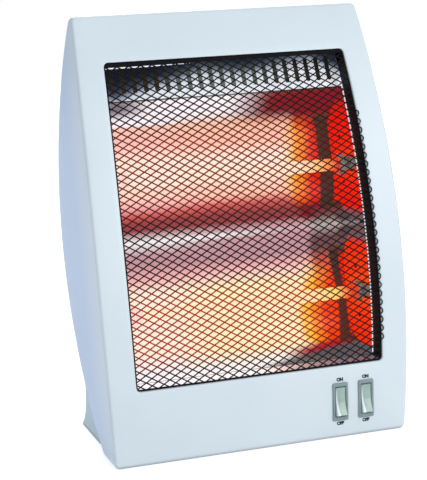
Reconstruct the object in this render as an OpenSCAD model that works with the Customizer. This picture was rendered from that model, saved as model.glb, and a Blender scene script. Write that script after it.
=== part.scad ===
// Twin-bar radiant heater: a curved housing that leans back, with a wide mesh
// guard in its face. Behind the guard lie two quartz tubes in a double-trough
// reflector, with a slotted strip above them. Two rocker switches sit below.
// Millimetres. +Z is up, the face looks along -Y, and the origin is on the
// ground in the middle of the heater's box.

/* [Housing] */
// Width across the bowed sides
body_w = 255; // [240:1:270]
// Height of the top edge above the ground
body_h = 343; // [325:1:360]
// Depth from the foot of the face to the deepest point of the back
body_d = 130; // [122:1:138]
// Height at which the face stands upright
face_z = 35; // [30:1:42]
// Height of the deepest point of the back
back_z = 206; // [200:1:212]
// Radius of the curved back, seen from the side
back_r = 278.7; // [265:0.1:300]
// Depth of the roof between the face and the back
roof_d = 12; // [12:0.5:15]
// Radius of the bowed sides, seen from the front
side_r = 2500; // [2000:50:4000]
// Height at which the housing is widest
side_z = 150; // [130:1:170]
// Thickness of the moulded walls
wall = 2.5; // [2:0.1:3]
// Radius of the soft edge round the face
edge_r = 5; // [3:0.5:5]
// Radius of the housing's corners, seen from the front
corner_r = 10; // [7:0.5:14]
// Lip of the front cover that turns in at the back
lip = 5; // [4:0.5:5.5]
// Gap between the lip and the rear cover
seam = 0.5; // [0.3:0.1:1]

/* [Window] */
// Width of the face beside the window
side_band = 22.7; // [21.5:0.1:26]
// Height of the window's lower edge
window_z1 = 60; // [57:0.5:64]
// Height of the face above the window
top_band = 35.4; // [33:0.2:40]
// Radius of the window's corners
window_r = 3.5; // [2:0.5:6]
// Depth of the wall that turns in round the window
window_d = 18; // [16:0.5:18]

/* [Guard mesh] */
// Width of one diamond
mesh_w = 9.5; // [8:0.1:14]
// Height of one diamond
mesh_h = 5.7; // [5:0.1:9]
// Width of a strand
strand_w = 0.9; // [0.6:0.1:1.4]
// Thickness of a strand
strand_t = 0.6; // [0.4:0.1:0.9]
// Depth of the mesh behind the face
mesh_d = 1.5; // [1:0.1:3]
// Depth of the guard's turned-back rim
rim_d = 14; // [10:0.5:14]
// Thickness of the rim
rim_t = 0.8; // [0.6:0.1:1]
// Width of the hem round the mesh
hem = 1; // [0.8:0.1:1.2]
// Clearance round the guard in the window
guard_gap = 0.3; // [0.2:0.1:0.5]

/* [Reflector] */
// Sheet thickness of the reflector
sheet_t = 0.8; // [0.6:0.1:1]
// Distance from the window's lower edge to the bottom lip
lip_gap = 2; // [1.5:0.1:4]
// Height of the slotted strip in the window, above the top lip
strip_h = 27; // [25:0.5:30]
// How far the ridge lies below the middle of the troughs
ridge_low = 2; // [0:0.5:4]
// Depth of the lips behind the face
trough_lip = 22; // [20:0.5:24]
// Depth of the ridge behind the face
ridge_d = 29; // [27:0.5:32]
// Depth of the bottom of the troughs
trough_d = 50; // [46:0.5:52]
// Distance from the window's side to the end of the troughs
trough_in = 11.8; // [10.8:0.2:16]
// Width of a slot in the strip above the troughs
slot_w = 4; // [3:0.5:5]
// Height of a slot
slot_h = 21; // [16:0.5:22]
// Distance between slots
slot_pitch = 9.2; // [8:0.1:12]
// Depth of the slotted strip behind the face
strip_d = 19; // [17:0.5:20]

/* [Heating tubes] */
// Outer diameter of a quartz tube
tube_od = 10; // [9:0.5:11]
// Wall of a quartz tube
tube_wall = 0.9; // [0.8:0.1:1]
// Depth of the tubes behind the face
tube_d = 25; // [23:0.5:26]
// How far the lower tube lies below the middle of its trough
low_tube_drop = 2; // [0:0.5:5]
// How far the upper tube lies below the middle of its trough
high_tube_drop = 7; // [4:0.5:9]
// Outer diameter of a ceramic cap
cap_od = 17; // [15:0.5:18]
// Length of the wide part of a ceramic cap
cap_len = 10; // [8:0.5:10]
// Diameter of the cap's neck
neck_od = 11; // [10:0.5:12]
// Outer diameter of a heating coil
coil_od = 6.6; // [6:0.1:6.8]
// Diameter of the heating wire
wire_d = 0.7; // [0.5:0.1:0.8]
// Curls of each heating coil
coil_n = 36; // [24:1:40]

/* [Brackets] */
// Thickness of the side brackets
bracket_t = 1; // [0.8:0.1:1.2]
// Depth of the side brackets behind the face
bracket_d = 58; // [56:0.5:60]
// Thickness of the heat shield
shield_t = 0.6; // [0.5:0.1:0.8]

/* [Switches] */
// Height of a switch bezel
bezel_h = 31.5; // [28:0.5:33]
// Width of a switch bezel
bezel_w = 13; // [12:0.5:15]
// Height of the bezel's front above the face
bezel_t = 1.4; // [1:0.1:2]
// Height of the switches' centre
switch_z = 30.7; // [28:0.1:33]
// Distance from the housing's side to the right switch's centre
switch_in = 39.8; // [38:0.1:48]
// Distance between the switches
switch_pitch = 22.4; // [20:0.1:24]
// Width of a rocker
rocker_w = 8; // [7:0.1:8.6]
// Height of a rocker
rocker_h = 24; // [22:0.5:25]
// Swing of a rocker from end to end
rocker_swing = 20; // [16:1:22]
// Gap round a rocker
rocker_gap = 0.4; // [0.3:0.1:0.6]

/* [Rear cover] */
// How far the waist lies in from the deepest point of the back
waist_in = 30; // [26:1:34]
// Height of the waist
waist_z = 45; // [40:1:50]
// How far the rear feet's tips lie in from the deepest point of the back
foot_in = 6; // [2:1:10]
// Thickness of a foot's tip
foot_t = 2; // [1.5:0.1:3]
// Width of a rear foot
foot_w = 34; // [28:1:40]
// Height of the floor panel's underside
floor_z = 10; // [9:0.5:12]
// Width of the carrying recess
grip_w = 96; // [86:1:104]
// Height of the carrying recess
grip_h = 25; // [22:0.5:26]
// Distance from the top edge to the recess's lower edge
grip_low = 40; // [38:0.5:42]
// Depth of the carrying recess
grip_d = 19; // [16:0.5:20]
// Rows of air slots in the back
vent_rows = 9; // [6:1:10]
// Distance between rows
vent_pitch = 15; // [13:0.5:16]
// Length of an air slot
vent_w = 46; // [40:1:50]
// Height of an air slot
vent_h = 4; // [3:0.5:5]

/* [Screws] */
// Diameter of a screw's shank
screw_d = 3; // [2.5:0.1:3.5]
// Diameter of a screw's head
head_d = 5.6; // [5:0.1:6]
// Diameter of a screw boss
boss_d = 8; // [7.4:0.1:8.4]
// Distance from the housing's side to the case screws
boss_in = 16; // [15.5:0.1:16.5]

/* [Tilt switch] */
// Diameter of the plunger
plunger_d = 8; // [6:0.5:9]
// Travel of the plunger
plunger_travel = 5; // [4:0.5:6]
// Distance from the waist to the plunger
tilt_in = 28; // [24:1:32]

/* [Hidden] */
$fn = 64;
eps = 0.01;

// Rocker: its pivot lies behind the face, and its two facets meet at a shallow angle.
rocker_pivot = 1;
half_swing = rocker_swing / 2;
rocker_mid = bezel_t + rocker_pivot;
rocker_slope = tan(half_swing);
rocker_tip = (sqrt(pow(rocker_h / 2, 2) * (1 + pow(rocker_slope, 2)) - pow(rocker_mid, 2))
    - rocker_mid * rocker_slope) / (1 + pow(rocker_slope, 2));
proud = (rocker_mid + rocker_tip * rocker_slope) * cos(half_swing)
    + rocker_tip * sin(half_swing) - rocker_pivot;

// Front and back, as places along Y
y_face = proud - (body_d + proud) / 2;
y_back = y_face + body_d;
y_waist = y_back - waist_in;
y_foot = y_back - foot_in;

// The face leans back as far as the roof and the curved back leave room, and its radius follows.
back_drop = back_r - sqrt(pow(back_r, 2) - pow(body_h - back_z, 2));
face_lean = body_d - roof_d - back_drop;
face_r = (pow(body_h - face_z, 2) + pow(face_lean, 2)) / (2 * face_lean);

// Y of the face or the back at a height, d deeper inside the housing
function face_y(z, d = 0) = y_face + face_r - sqrt(pow(face_r - d, 2) - pow(z - face_z, 2));
function back_y(z, d = 0) = y_back - back_r + sqrt(pow(back_r - d, 2) - pow(z - back_z, 2));

// How far the bowed sides draw in at a height, and half the width there
function bow(z) = pow(z - side_z, 2) / (2 * side_r);
function half_w(z, inset = 0) = body_w / 2 - inset - bow(z);

// A place s up the curved face and d behind it, as [Y, Z]
function lean(s) = s / face_r * 180 / PI;
function at(s, d) = [y_face + face_r - (face_r - d) * cos(lean(s)), face_z + (face_r - d) * sin(lean(s))];
function at_x(x, s, d) = [x, at(s, d)[0], at(s, d)[1]];
// The place up the face that lies at a height
function up_face(z) = face_r * asin((z - face_z) / face_r) * PI / 180;

function mix(a, b, t) = a + (b - a) * t;

// Window, guard and frame, as places up the face
window_x = body_w / 2 - side_band;
window_z2 = body_h - top_band;
guard_x = window_x - guard_gap;
window_s1 = up_face(window_z1);
window_s2 = up_face(window_z2);
trough_s0 = window_s1 + lip_gap;
trough_s2 = window_s2 - strip_h;
trough_s1 = (trough_s0 + trough_s2) / 2 - ridge_low;
trough_x = window_x - trough_in;
slot_n = 2 * floor((window_x - 12) / slot_pitch) + 1;
bracket_x = window_x + 0.2;
bracket_front = window_d + 0.2;
bracket_over = 7;
bracket_step = 20;
bracket_s = [window_s1 - bracket_over, trough_s2 - bracket_step, window_s2 + bracket_over];
bracket_slim = 32;
tab_up = 18;
tab_s = [trough_s0 + tab_up, bracket_s[1]];
tab_in = 14.5;
tab_x = body_w / 2 - tab_in;
tab_d = 20;
tab_len = 14;
tab_w = 12;
shield_d = trough_d + 5;
shield_s = [trough_s0 + 3, trough_s2 - 25];
cutout_s = (shield_s[0] + shield_s[1]) / 2 + 20;

// Ends of the heating tubes
plate_t = 0.8;
foot_s = 28;
plate_foot = 18;
foot_lap = 1.5;
plate_d1 = window_d + 0.4;
plate_x1 = bracket_x - 1;
plate_x2 = plate_x1 - 9;
plate_tilt = atan((plate_x1 - plate_x2) / (trough_d - plate_d1));
cap_x2 = plate_x1 - (tube_d + cap_od / 2 - plate_d1) * tan(plate_tilt) - plate_t / 2 / cos(plate_tilt) - 0.3;
cap_x1 = cap_x2 - cap_len;
cap_bore = 0.8 * cap_len;
neck_x = bracket_x + 4;
lead_d = 2;
disc_x = cap_x1 - 2;
disc_t = 1;
nut_t = 2.4;
tube_s1 = (trough_s0 + trough_s1) / 2 - low_tube_drop;
tube_s2 = (trough_s1 + trough_s2) / 2 - high_tube_drop;
tube_s = [tube_s1, tube_s2];

// Case screws
boss_x = body_w / 2 - boss_in;
case_low = 62;
case_top = body_h - 43;
case_z = [case_low, (case_low + case_top) / 2 - 6, case_top];
case_boss = [30, 30, 20];
screw_len = 14;
head_t = 2.2;
post_r = 4.5;

// Rear cover
cover_inset = lip + seam;
skirt_d = 10;
leg_front = back_y(0) - y_face + 8.3;
flare_r = (pow(waist_z - foot_t, 2) + pow(waist_in - foot_in, 2)) / (2 * (waist_in - foot_in));
function join_z(t) = back_z - sqrt(pow(back_r - t, 2) - pow(back_r - waist_in - t, 2));
foot_x = half_w(0, cover_inset) - foot_w;
gland_x = 47.5 - body_w / 2;
gland_z = (waist_z + join_z(0)) / 2;
gland_r = 5.4;
grip_z = body_h - grip_low;
vent_z = back_z - 34 - vent_pitch * (vent_rows - 1) / 2;
vent_gap = 60;

// Tilt switch
tilt_y = y_waist - tilt_in;
plunger_gap = 0.06;
tilt_size = [22, 16, 24];
tilt_floor = floor_z + wall;
tilt_wall = 2.5;
tilt_bore = 5.2;
collar_r = 5;
collar_t = 2;
spring_wire = 0.7;
spring_od = 9;
spring_n = 6;

module along_x(w) rotate([90, 0, 90]) linear_extrude(w, center = true) children();

module on_face(s, d = 0) translate(at_x(0, s, d)) rotate([-lean(s), 0, 0]) children();

// A bar along the local Y axis, from y1 to y2
module bar_y(r, y1, y2) translate([0, y1, 0]) rotate([-90, 0, 0]) cylinder(y2 - y1, r = r);

// A bar along X, from x1 to x2
module bar_x(r, x1, x2) translate([x1, 0, 0]) rotate([0, 90, 0]) cylinder(x2 - x1, r = r);

// Part of a ring that follows the face, in the YZ plane
module band(d1, d2, s1, s2) {
    reach = 1.1 * face_r;
    intersection() {
        translate([y_face + face_r, face_z]) difference() {
            circle(face_r - d1, $fn = 720);
            circle(face_r - d2, $fn = 720);
        }
        polygon([[y_face + face_r, face_z], at(s1, face_r - reach), at(s2, face_r - reach)]);
    }
}

// ---- Housing skins: rings of points that follow the outline ----

corner_n = 4;
side_n = 9;
across_n = 2;
ring_n = 4 * (corner_n + 1) + 2 * side_n + 2 * across_n;

function corner(x, z, r, a0) =
    [for (i = [0:corner_n]) [x + r * cos(a0 + 90 * i / corner_n), z + r * sin(a0 + 90 * i / corner_n)]];
function side(p, q, n) = [for (i = [1:n]) mix(p, q, i / (n + 1))];

// A closed outline in front view, with half width a, from height z1 to z2
function outline(a, z1, z2, r) = let (
    flat = concat(
        corner(a - r, z1 + r, r, -90), side([a, z1 + r], [a, z2 - r], side_n),
        corner(a - r, z2 - r, r, 0), side([a - r, z2], [r - a, z2], across_n),
        corner(r - a, z2 - r, r, 90), side([-a, z2 - r], [-a, z1 + r], side_n),
        corner(r - a, z1 + r, r, 180), side([r - a, z1], [a - r, z1], across_n))
    ) [for (p = flat) [p[0] * (1 - bow(p[1]) / (body_w / 2)), p[1]]];

function front_ring(a, z1, z2, r, d) = [for (p = outline(a, z1, z2, r)) [p[0], face_y(p[1], d), p[1]]];
function back_ring(a, z1, z2, r, d) = [for (p = outline(a, z1, z2, r)) [p[0], back_y(p[1], d), p[1]]];

// Rings set in from the outer outline, or out from the window's edge
function inset_front(i, d) = front_ring(body_w / 2 - i, i, body_h - i, max(corner_r - i, 1), d);
function inset_back(i, d) = back_ring(body_w / 2 - i, i, body_h - i, max(corner_r - i, 1), d);
function window_ring(o, d) = front_ring(window_x + o, window_z1 - o, window_z2 + o, window_r + o, d);
function between_ring(i, o, t, d) = front_ring(
    mix(body_w / 2 - i, window_x + o, t), mix(i, window_z1 - o, t), mix(body_h - i, window_z2 + o, t),
    mix(max(corner_r - i, 1), window_r + o, t), d);

// Joins a loop of rings into one closed skin
module skin(rings) {
    n = len(rings[0]);
    m = len(rings);
    polyhedron([for (ring = rings) each ring], [
        for (k = [0:m - 1], i = [0:n - 1]) let (
            a = k * n + i, b = k * n + (i + 1) % n,
            c = ((k + 1) % m) * n + i, d = ((k + 1) % m) * n + (i + 1) % n
        ) each [[a, b, c], [b, d, c]]
    ], convexity = 8);
}

module front_skin() skin(concat(
    [window_ring(0, window_d), window_ring(0, 0.8), window_ring(0.8, 0)],
    [for (t = [0.75, 0.5, 0.25]) between_ring(edge_r, 0.8, t, 0)],
    [for (a = [0:22.5:90]) inset_front(edge_r * (1 - sin(a)), edge_r * (1 - cos(a)))],
    [for (a = [0:22.5:90]) inset_back(lip * (1 - cos(a)), lip * (1 - sin(a)))],
    [inset_back(lip, wall), inset_back(wall, lip + 1)],
    [inset_front(wall, edge_r), inset_front(edge_r, wall)],
    [for (t = [0.33, 0.67]) between_ring(edge_r, wall, t, wall)],
    [window_ring(wall, wall), window_ring(wall, window_d)]
));

module front_cover() color([0.84, 0.89, 0.92]) {
    difference() {
        union() {
            front_skin();
            for (side = [-1, 1], i = [0:2]) translate([side * boss_x, 0, case_z[i]])
                bar_y(boss_d / 2, face_y(case_z[i]) + wall / 2, face_y(case_z[i]) + case_boss[i]);
            for (side = [-1, 1], s = tab_s) on_face(s) translate([side * tab_x, 0, 0])
                bar_y(boss_d / 2, wall / 2, tab_d);
        }
        for (x = switch_places) translate([x, y_face, switch_z])
            cube(switch_cut, center = true);
        for (side = [-1, 1], i = [0:2]) translate([side * boss_x, 0, case_z[i]])
            bar_y(screw_d / 2 + 0.05, face_y(case_z[i]) + 2 * wall, face_y(case_z[i]) + case_boss[i] + 1);
        for (side = [-1, 1], s = tab_s) on_face(s) translate([side * tab_x, 0, 0])
            bar_y(screw_d / 2 + 0.05, 2 * wall, tab_d + 1);
    }
}

// ---- Rear cover ----

// The rear cover from the side, set in by t from its outer surface
module cover_side(t) {
    top = body_h - cover_inset - t;
    intersection() {
        translate([y_back - back_r, back_z]) circle(back_r - t, $fn = 720);
        translate([y_face, join_z(t) - eps]) square([2 * body_d, top - join_z(t) + eps]);
    }
    translate([y_face, 0]) square([y_waist - y_face - t, join_z(t)]);
    difference() {
        translate([y_waist - t - eps, 0]) square([y_foot - y_waist + eps, waist_z]);
        translate([y_waist + flare_r, waist_z]) circle(flare_r + t, $fn = 360);
    }
}

// The same, only behind the face's wall and the legs' front
module cover_rear() intersection() {
    cover_side(0);
    translate([y_face + face_r, face_z]) circle(face_r - wall - 1, $fn = 720);
    translate([y_face + leg_front, -1]) square([body_d, 2 * body_h]);
}

// The housing's bowed outline from the front with round upper corners, set in on the sides
module cover_front(inset) {
    top = body_h - inset;
    r = max(corner_r - inset, 1) + 2;
    difference() {
        intersection_for (side = [-1, 1])
            translate([side * (side_r - body_w / 2 + inset), side_z]) circle(side_r, $fn = 720);
        for (side = [-1, 1]) translate([side * (half_w(top - r, inset) - r), top - r]) difference() {
            translate([side > 0 ? 0 : -3 * r, 0]) square([3 * r, 3 * r]);
            circle(r);
        }
    }
}

module through_y() translate([0, y_back + 20, 0]) rotate([90, 0, 0]) linear_extrude(2 * body_d) children();

// What stands within a distance of the rear cover's outer surface
module cover_edge() difference() {
    cover_rear();
    translate([y_back - back_r - skirt_d, back_z]) circle(back_r, $fn = 720);
}

module slot(w, h) {
    square([w - h, h], center = true);
    for (end = [-1, 1]) translate([end * (w - h) / 2, 0]) circle(h / 2);
}

module rounded(w, h, r) {
    square([w - 2 * r, h], center = true);
    square([w, h - 2 * r], center = true);
    for (i = [-1, 1], j = [-1, 1]) translate([i * (w / 2 - r), j * (h / 2 - r)]) circle(r);
}

// Y of the rear cover's outer surface above the feet
function cover_y(z) = max(back_y(z), y_waist);
grip_mid = grip_z + grip_h / 2;
grip_floor = back_y(grip_mid) - grip_d;

module cover_shell() {
    intersection() {
        union() {
            along_x(body_w) difference() {
                cover_rear();
                cover_side(wall);
            }
            along_x(body_w) intersection() {
                cover_side(0);
                translate([y_face + 14, floor_z]) square([body_d, wall]);
            }
        }
        through_y() cover_front(cover_inset);
    }
    intersection() {
        along_x(body_w) cover_edge();
        through_y() difference() {
            cover_front(cover_inset);
            cover_front(cover_inset + wall);
        }
    }
    for (side = [-1, 1]) translate([side * (foot_x + wall / 2), 0, 0]) along_x(wall) intersection() {
        cover_side(0);
        translate([y_face + leg_front, 0]) square([body_d, floor_z + wall / 2]);
    }
}

module rear_cover() color([0.80, 0.85, 0.89]) difference() {
    union() {
        cover_shell();
        for (side = [-1, 1], i = [0:2]) translate([side * boss_x, 0, case_z[i]])
            bar_y(post_r, face_y(case_z[i]) + case_boss[i], cover_y(case_z[i]) - wall / 2);
        intersection() {
            translate([0, grip_floor - wall, grip_mid]) rotate([-90, 0, 0])
                linear_extrude(2 * grip_d) rounded(grip_w + 2 * wall, grip_h + 2 * wall, 4 + wall);
            along_x(body_w) cover_side(0);
        }
    }
    translate([0, grip_floor, grip_mid]) rotate([-90, 0, 0])
        linear_extrude(2 * grip_d) rounded(grip_w, grip_h, 4);
    for (side = [-1, 1], i = [0:2]) translate([side * boss_x, 0, case_z[i]]) {
        bar_y(screw_d / 2 + 0.2, face_y(case_z[i]), y_back);
        bar_y(head_d / 2 + 0.3, face_y(case_z[i]) + case_boss[i] + wall, y_back + 20);
    }
    for (row = [0:vent_rows - 1], col = [-1:1])
        translate([col * vent_gap, back_y(vent_z + row * vent_pitch) - 3 * wall, vent_z + row * vent_pitch])
            rotate([-90, 0, 0]) linear_extrude(6 * wall) slot(vent_w, vent_h);
    translate([-foot_x, y_face, -1]) cube([2 * foot_x, 2 * body_d, floor_z + 1]);
    translate([gland_x, 0, gland_z]) bar_y(gland_r + 0.1, y_waist - 3 * wall, y_waist + wall);
    translate([0, tilt_y, floor_z - 1]) cylinder(wall + 2, r = plunger_d / 2 + plunger_gap);
}

module cord_gland() color([0.25, 0.25, 0.27]) translate([gland_x, 0, gland_z]) difference() {
    union() {
        bar_y(gland_r + 2, y_waist, y_waist + 2);
        bar_y(gland_r, y_waist - wall - 3, y_waist + eps);
    }
    bar_y(3.6, y_waist - 3 * wall, y_waist + 3);
}

// ---- Guard ----

// The strands' ends are sunk into the hem by the weld. Half width between them at a place up the face
weld = 0.3;
function guard_in(s) = (guard_x - hem + weld) * (1 - bow(at(s, mesh_d)[1]) / (body_w / 2));
guard_s1 = window_s1 + guard_gap + hem - weld;
guard_s2 = window_s2 - guard_gap - hem + weld;
// The same, drawn in at the window's round corners
function round_in(s) = let (e = max(0, min(window_r, window_r - min(s - guard_s1, guard_s2 - s))))
    guard_in(s) - window_r + sqrt(pow(window_r, 2) - pow(e, 2));
mesh_slope = mesh_w / mesh_h;
strand_half = strand_w / 2 / sin(atan(mesh_slope));
layer_gap = 0.06;

// The place up the face where a strand meets the guard's side, found in steps
function meets(c, way, end, s, n = 4) = n == 0 ? s
    : meets(c, way, end, (end * guard_in(s) - c) / (way * mesh_slope) , n - 1);

// Strands bend only at shared levels, so that the two layers stay apart
level_n = 8;
level_step = (guard_s2 - guard_s1) / level_n;
function on_levels(x, s, d) = let (
    k = max(0, min(level_n - 1, floor((s - guard_s1) / level_step))), s0 = guard_s1 + k * level_step
) mix(at_x(x, s0, d), at_x(x, s0 + level_step, d), (s - s0) / level_step);
function strand_s(c, way) = let (
    s1 = max(meets(c, way, -way, guard_s1), guard_s1), s2 = min(meets(c, way, way, guard_s2), guard_s2)
) concat([s1], [for (k = [1:level_n - 1]) let (s = guard_s1 + k * level_step)
    if (s > s1 + strand_w && s < s2 - strand_w) s], [s2]);

// One strand's corner points, four to a ring
function strand(c, way, d) = [for (s = strand_s(c, way), q = [[-1, 0], [1, 0], [1, 1], [-1, 1]]) let (
    s1 = max(guard_s1, min(guard_s2, s + way * q[0] * strand_half)), x = c + way * mesh_slope * s
) on_levels(max(-round_in(s1), min(round_in(s1), x)), s1, d + q[1] * strand_t)];

function sums(v, i = 0, total = 0) = i == len(v) ? [] : concat([total], sums(v, i + 1, total + v[i]));

module strand_layer(way, d) {
    step = mesh_h * mesh_slope;
    reach = ceil((guard_x + mesh_slope * guard_s2) / step);
    strands = [for (i = [-reach:reach]) let (c = (i + 0.5) * step, s = strand_s(c, way))
        if (s[len(s) - 1] - s[0] > mesh_h) strand(c, way, d)];
    starts = sums([for (p = strands) len(p)]);
    polyhedron([for (p = strands) each p], [for (j = [0:len(strands) - 1]) let (
        o = starts[j], n = len(strands[j]) / 4, e = o + 4 * (n - 1)
    ) each concat(
        [for (k = [0:n - 2], q = [0:3]) let (a = o + 4 * k + q, b = o + 4 * k + (q + 1) % 4)
            each [[a, b, a + 4], [b, b + 4, a + 4]]],
        [[o, o + 2, o + 1], [o, o + 3, o + 2], [e, e + 1, e + 2], [e, e + 2, e + 3]])], convexity = 10);
}

// The mesh and its flat hem, and behind the hem the rim that turns back along the window's wall
hem_d = [mesh_d - 0.2, mesh_d + 2 * strand_t + layer_gap + 0.2];
module guard() color([0.10, 0.10, 0.11]) {
    skin([
        window_ring(-guard_gap - hem, hem_d[0]), window_ring(-guard_gap, hem_d[0]),
        window_ring(-guard_gap, hem_d[1]), window_ring(-guard_gap - hem, hem_d[1])]);
    strand_layer(1, mesh_d);
    strand_layer(-1, mesh_d + strand_t + layer_gap);
}

module guard_rim() color([0.10, 0.10, 0.11]) skin([
    window_ring(-guard_gap - rim_t, hem_d[1] + 0.05), window_ring(-guard_gap, hem_d[1] + 0.05),
    window_ring(-guard_gap, mesh_d + rim_d), window_ring(-guard_gap - rim_t, mesh_d + rim_d)]);

// ---- Reflector ----

// Depth of the reflector at a place up the face: a flat-bottomed trough between two edges
function trough(s, s1, s2, d1, d2) = let (u = (2 * s - s1 - s2) / (s2 - s1))
    trough_d - (trough_d - (u < 0 ? d1 : d2)) * pow(abs(u), 5);
function trough_line(s1, s2, d1, d2, n) = [for (i = [0:n]) let (s = mix(s1, s2, i / n))
    [s, trough(s, s1, s2, d1, d2)]];

// A sheet from a line of [s, d] places, thickened away from the face
function normal(l, i) = let (p = l[max(i - 1, 0)], q = l[min(i + 1, len(l) - 1)], v = (q - p) / norm(q - p)) [-v[1], v[0]];
function sheet(l, t) = concat(l, [for (i = [len(l) - 1:-1:0]) l[i] + t * normal(l, i)]);
module sheet_band(l, t) polygon([for (p = sheet(l, t)) at(p[0], p[1])]);

lower_line = trough_line(trough_s0, trough_s1, trough_lip, ridge_d, 22);
upper_line = trough_line(trough_s1, trough_s2, ridge_d, trough_lip, 22);
reflector_line = concat(
    [[trough_s0, window_d + 0.6]], lower_line,
    [for (i = [1:len(upper_line) - 1]) upper_line[i]], [[trough_s2, trough_lip - 2]]);

module reflector() color([0.82, 0.80, 0.80]) difference() {
    along_x(2 * bracket_x) sheet_band(reflector_line, sheet_t);
    for (side = [-1, 1]) translate([side * (trough_x + bracket_x + 2) / 2, 0, 0])
        along_x(bracket_x + 2 - trough_x) band(36, trough_d + 3, trough_s0 - 4, trough_s2 + 4);
}

module vent_strip() color([0.86, 0.87, 0.89]) difference() {
    along_x(2 * bracket_x) band(strip_d, strip_d + sheet_t, trough_s2 + sheet_t + 0.3, bracket_s[2] - 1);
    for (i = [0:slot_n - 1]) on_face(trough_s2 + 7 + slot_h / 2)
        translate([(i - (slot_n - 1) / 2) * slot_pitch, strip_d + 4, 0]) rotate([90, 0, 0])
            linear_extrude(8) rotate(90) slot(slot_h, slot_w);
}

// An end plate closes a trough's end: its edge follows the trough, and it leans out to the guard
module end_plate(side, line, tube) {
    mid = (line[0][0] + line[len(line) - 1][0]) / 2;
    edge = [for (p = line) if (p[1] > plate_d1 + 6) [p[0] + (p[0] < mid ? 1.2 : -1.2), p[1] - 1.2]];
    last = edge[len(edge) - 1][0];
    shape = concat(edge, [for (i = [0:6]) [mix(last, edge[0][0], i / 6), plate_d1]]);
    difference() {
        on_face(mid) translate([side * plate_x1, plate_d1, 0]) rotate([0, 0, side * plate_tilt])
            rotate([90, 0, 90]) linear_extrude(plate_t, center = true)
                polygon([for (p = shape) let (a = lean(p[0] - mid))
                    [face_r - (face_r - p[1]) * cos(a) - plate_d1, (face_r - p[1]) * sin(a)]]);
        on_face(tube, tube_d) bar_x(neck_od / 2 + 1.5, -body_w / 2, body_w / 2);
    }
    for (end = [-1, 1]) on_face(mid + end * foot_s)
        translate([side > 0 ? plate_x1 - foot_lap : -bracket_x, plate_d1, -plate_foot / 2])
            cube([bracket_x - plate_x1 + foot_lap, plate_t, plate_foot]);
}
module upper_left_end_plate() color([0.75, 0.45, 0.40]) end_plate(-1, upper_line, tube_s2);
module upper_right_end_plate() color([0.75, 0.45, 0.40]) end_plate(1, upper_line, tube_s2);
module lower_left_end_plate() color([0.75, 0.45, 0.40]) end_plate(-1, lower_line, tube_s1);
module lower_right_end_plate() color([0.75, 0.45, 0.40]) end_plate(1, lower_line, tube_s1);

// ---- Heating tubes ----

module tube(s) {
    x = cap_x1 + cap_bore - 0.2;
    on_face(s, tube_d) difference() {
        bar_x(tube_od / 2, -x, x);
        bar_x(tube_od / 2 - tube_wall, -x - 1, x + 1);
    }
}
module upper_tube() color([0.98, 0.72, 0.45]) tube(tube_s2);
module lower_tube() color([0.98, 0.72, 0.45]) tube(tube_s1);

// A round tube with a few sides, swept along a list of points
function unit(v) = v / norm(v);
function tangent(p, i) = unit(p[min(i + 1, len(p) - 1)] - p[max(i - 1, 0)]);
function hoop(c, t, r, n, up) = let (u = unit(cross(t, up)), v = cross(t, u))
    [for (k = [0:n - 1]) c + r * (cos(360 * k / n) * u + sin(360 * k / n) * v)];
module swept(path, r, n = 6, up = [0.31, 0.22, 0.93]) {
    m = len(path);
    polyhedron([for (i = [0:m - 1]) each hoop(path[i], tangent(path, i), r, n, up)], concat(
        [for (i = [0:m - 2], k = [0:n - 1]) let (a = i * n + k, b = i * n + (k + 1) % n)
            each [[a, a + n, b], [b, a + n, b + n]]],
        [for (k = [1:n - 2]) [0, k, k + 1]],
        [for (k = [1:n - 2]) let (e = (m - 1) * n) [e, e + k + 1, e + k]]), convexity = 10);
}

curl_rings = 8;
// The helix of a wire along X, with a straight lead of one wire at each end
function helix_x(x, r, n, wire) = concat([[-x, r, 0]],
    [for (i = [0:n * curl_rings]) let (a = 360 * i / curl_rings, u = i / (n * curl_rings))
        [mix(-x + wire, x - wire, u), r * cos(a), r * sin(a)]], [[x, r, 0]]);

coil_r = (coil_od - wire_d) / 2;
coil_x = disc_x - disc_t / 2;
module coil(s) on_face(s, tube_d) swept(helix_x(coil_x, coil_r, coil_n, wire_d), wire_d / 2, 6, [1, 0.01, 0.02]);
module upper_coil() color([1, 0.55, 0.2]) coil(tube_s2);
module lower_coil() color([1, 0.55, 0.2]) coil(tube_s1);
// Least gap between one curl and the next
echo(coil_gap = (2 * coil_x - 2 * wire_d) / coil_n - wire_d);

module cap(side, s) on_face(s, tube_d) mirror([side < 0 ? 1 : 0, 0, 0]) difference() {
    union() {
        bar_x(cap_od / 2, cap_x1, cap_x2);
        bar_x(neck_od / 2, cap_x1 + 1, neck_x);
    }
    bar_x(tube_od / 2 + 0.1, cap_x1 - 1, cap_x1 + cap_bore);
    bar_x(lead_d / 2 + 0.05, cap_x1, neck_x + 1);
}
module upper_left_cap() color([0.62, 0.60, 0.55]) cap(-1, tube_s2);
module upper_right_cap() color([0.62, 0.60, 0.55]) cap(1, tube_s2);
module lower_left_cap() color([0.62, 0.60, 0.55]) cap(-1, tube_s1);
module lower_right_cap() color([0.62, 0.60, 0.55]) cap(1, tube_s1);

module lead_pins() color([0.75, 0.70, 0.55]) for (s = tube_s, side = [0, 1])
    on_face(s, tube_d) mirror([side, 0, 0]) {
        bar_x(lead_d / 2, disc_x, neck_x + nut_t + 3);
        bar_x(tube_od / 2 - tube_wall - 0.3, disc_x - disc_t / 2, disc_x + disc_t / 2);
    }
module terminal_nuts() color([0.72, 0.72, 0.70]) for (s = tube_s, side = [0, 1])
    on_face(s, tube_d) mirror([side, 0, 0]) difference() {
        translate([neck_x + 0.1, 0, 0]) rotate([0, 90, 0]) cylinder(nut_t, r = 3.1, $fn = 6);
        bar_x(lead_d / 2 + 0.05, neck_x, neck_x + nut_t + 1);
    }

// ---- Brackets and shield ----

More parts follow.
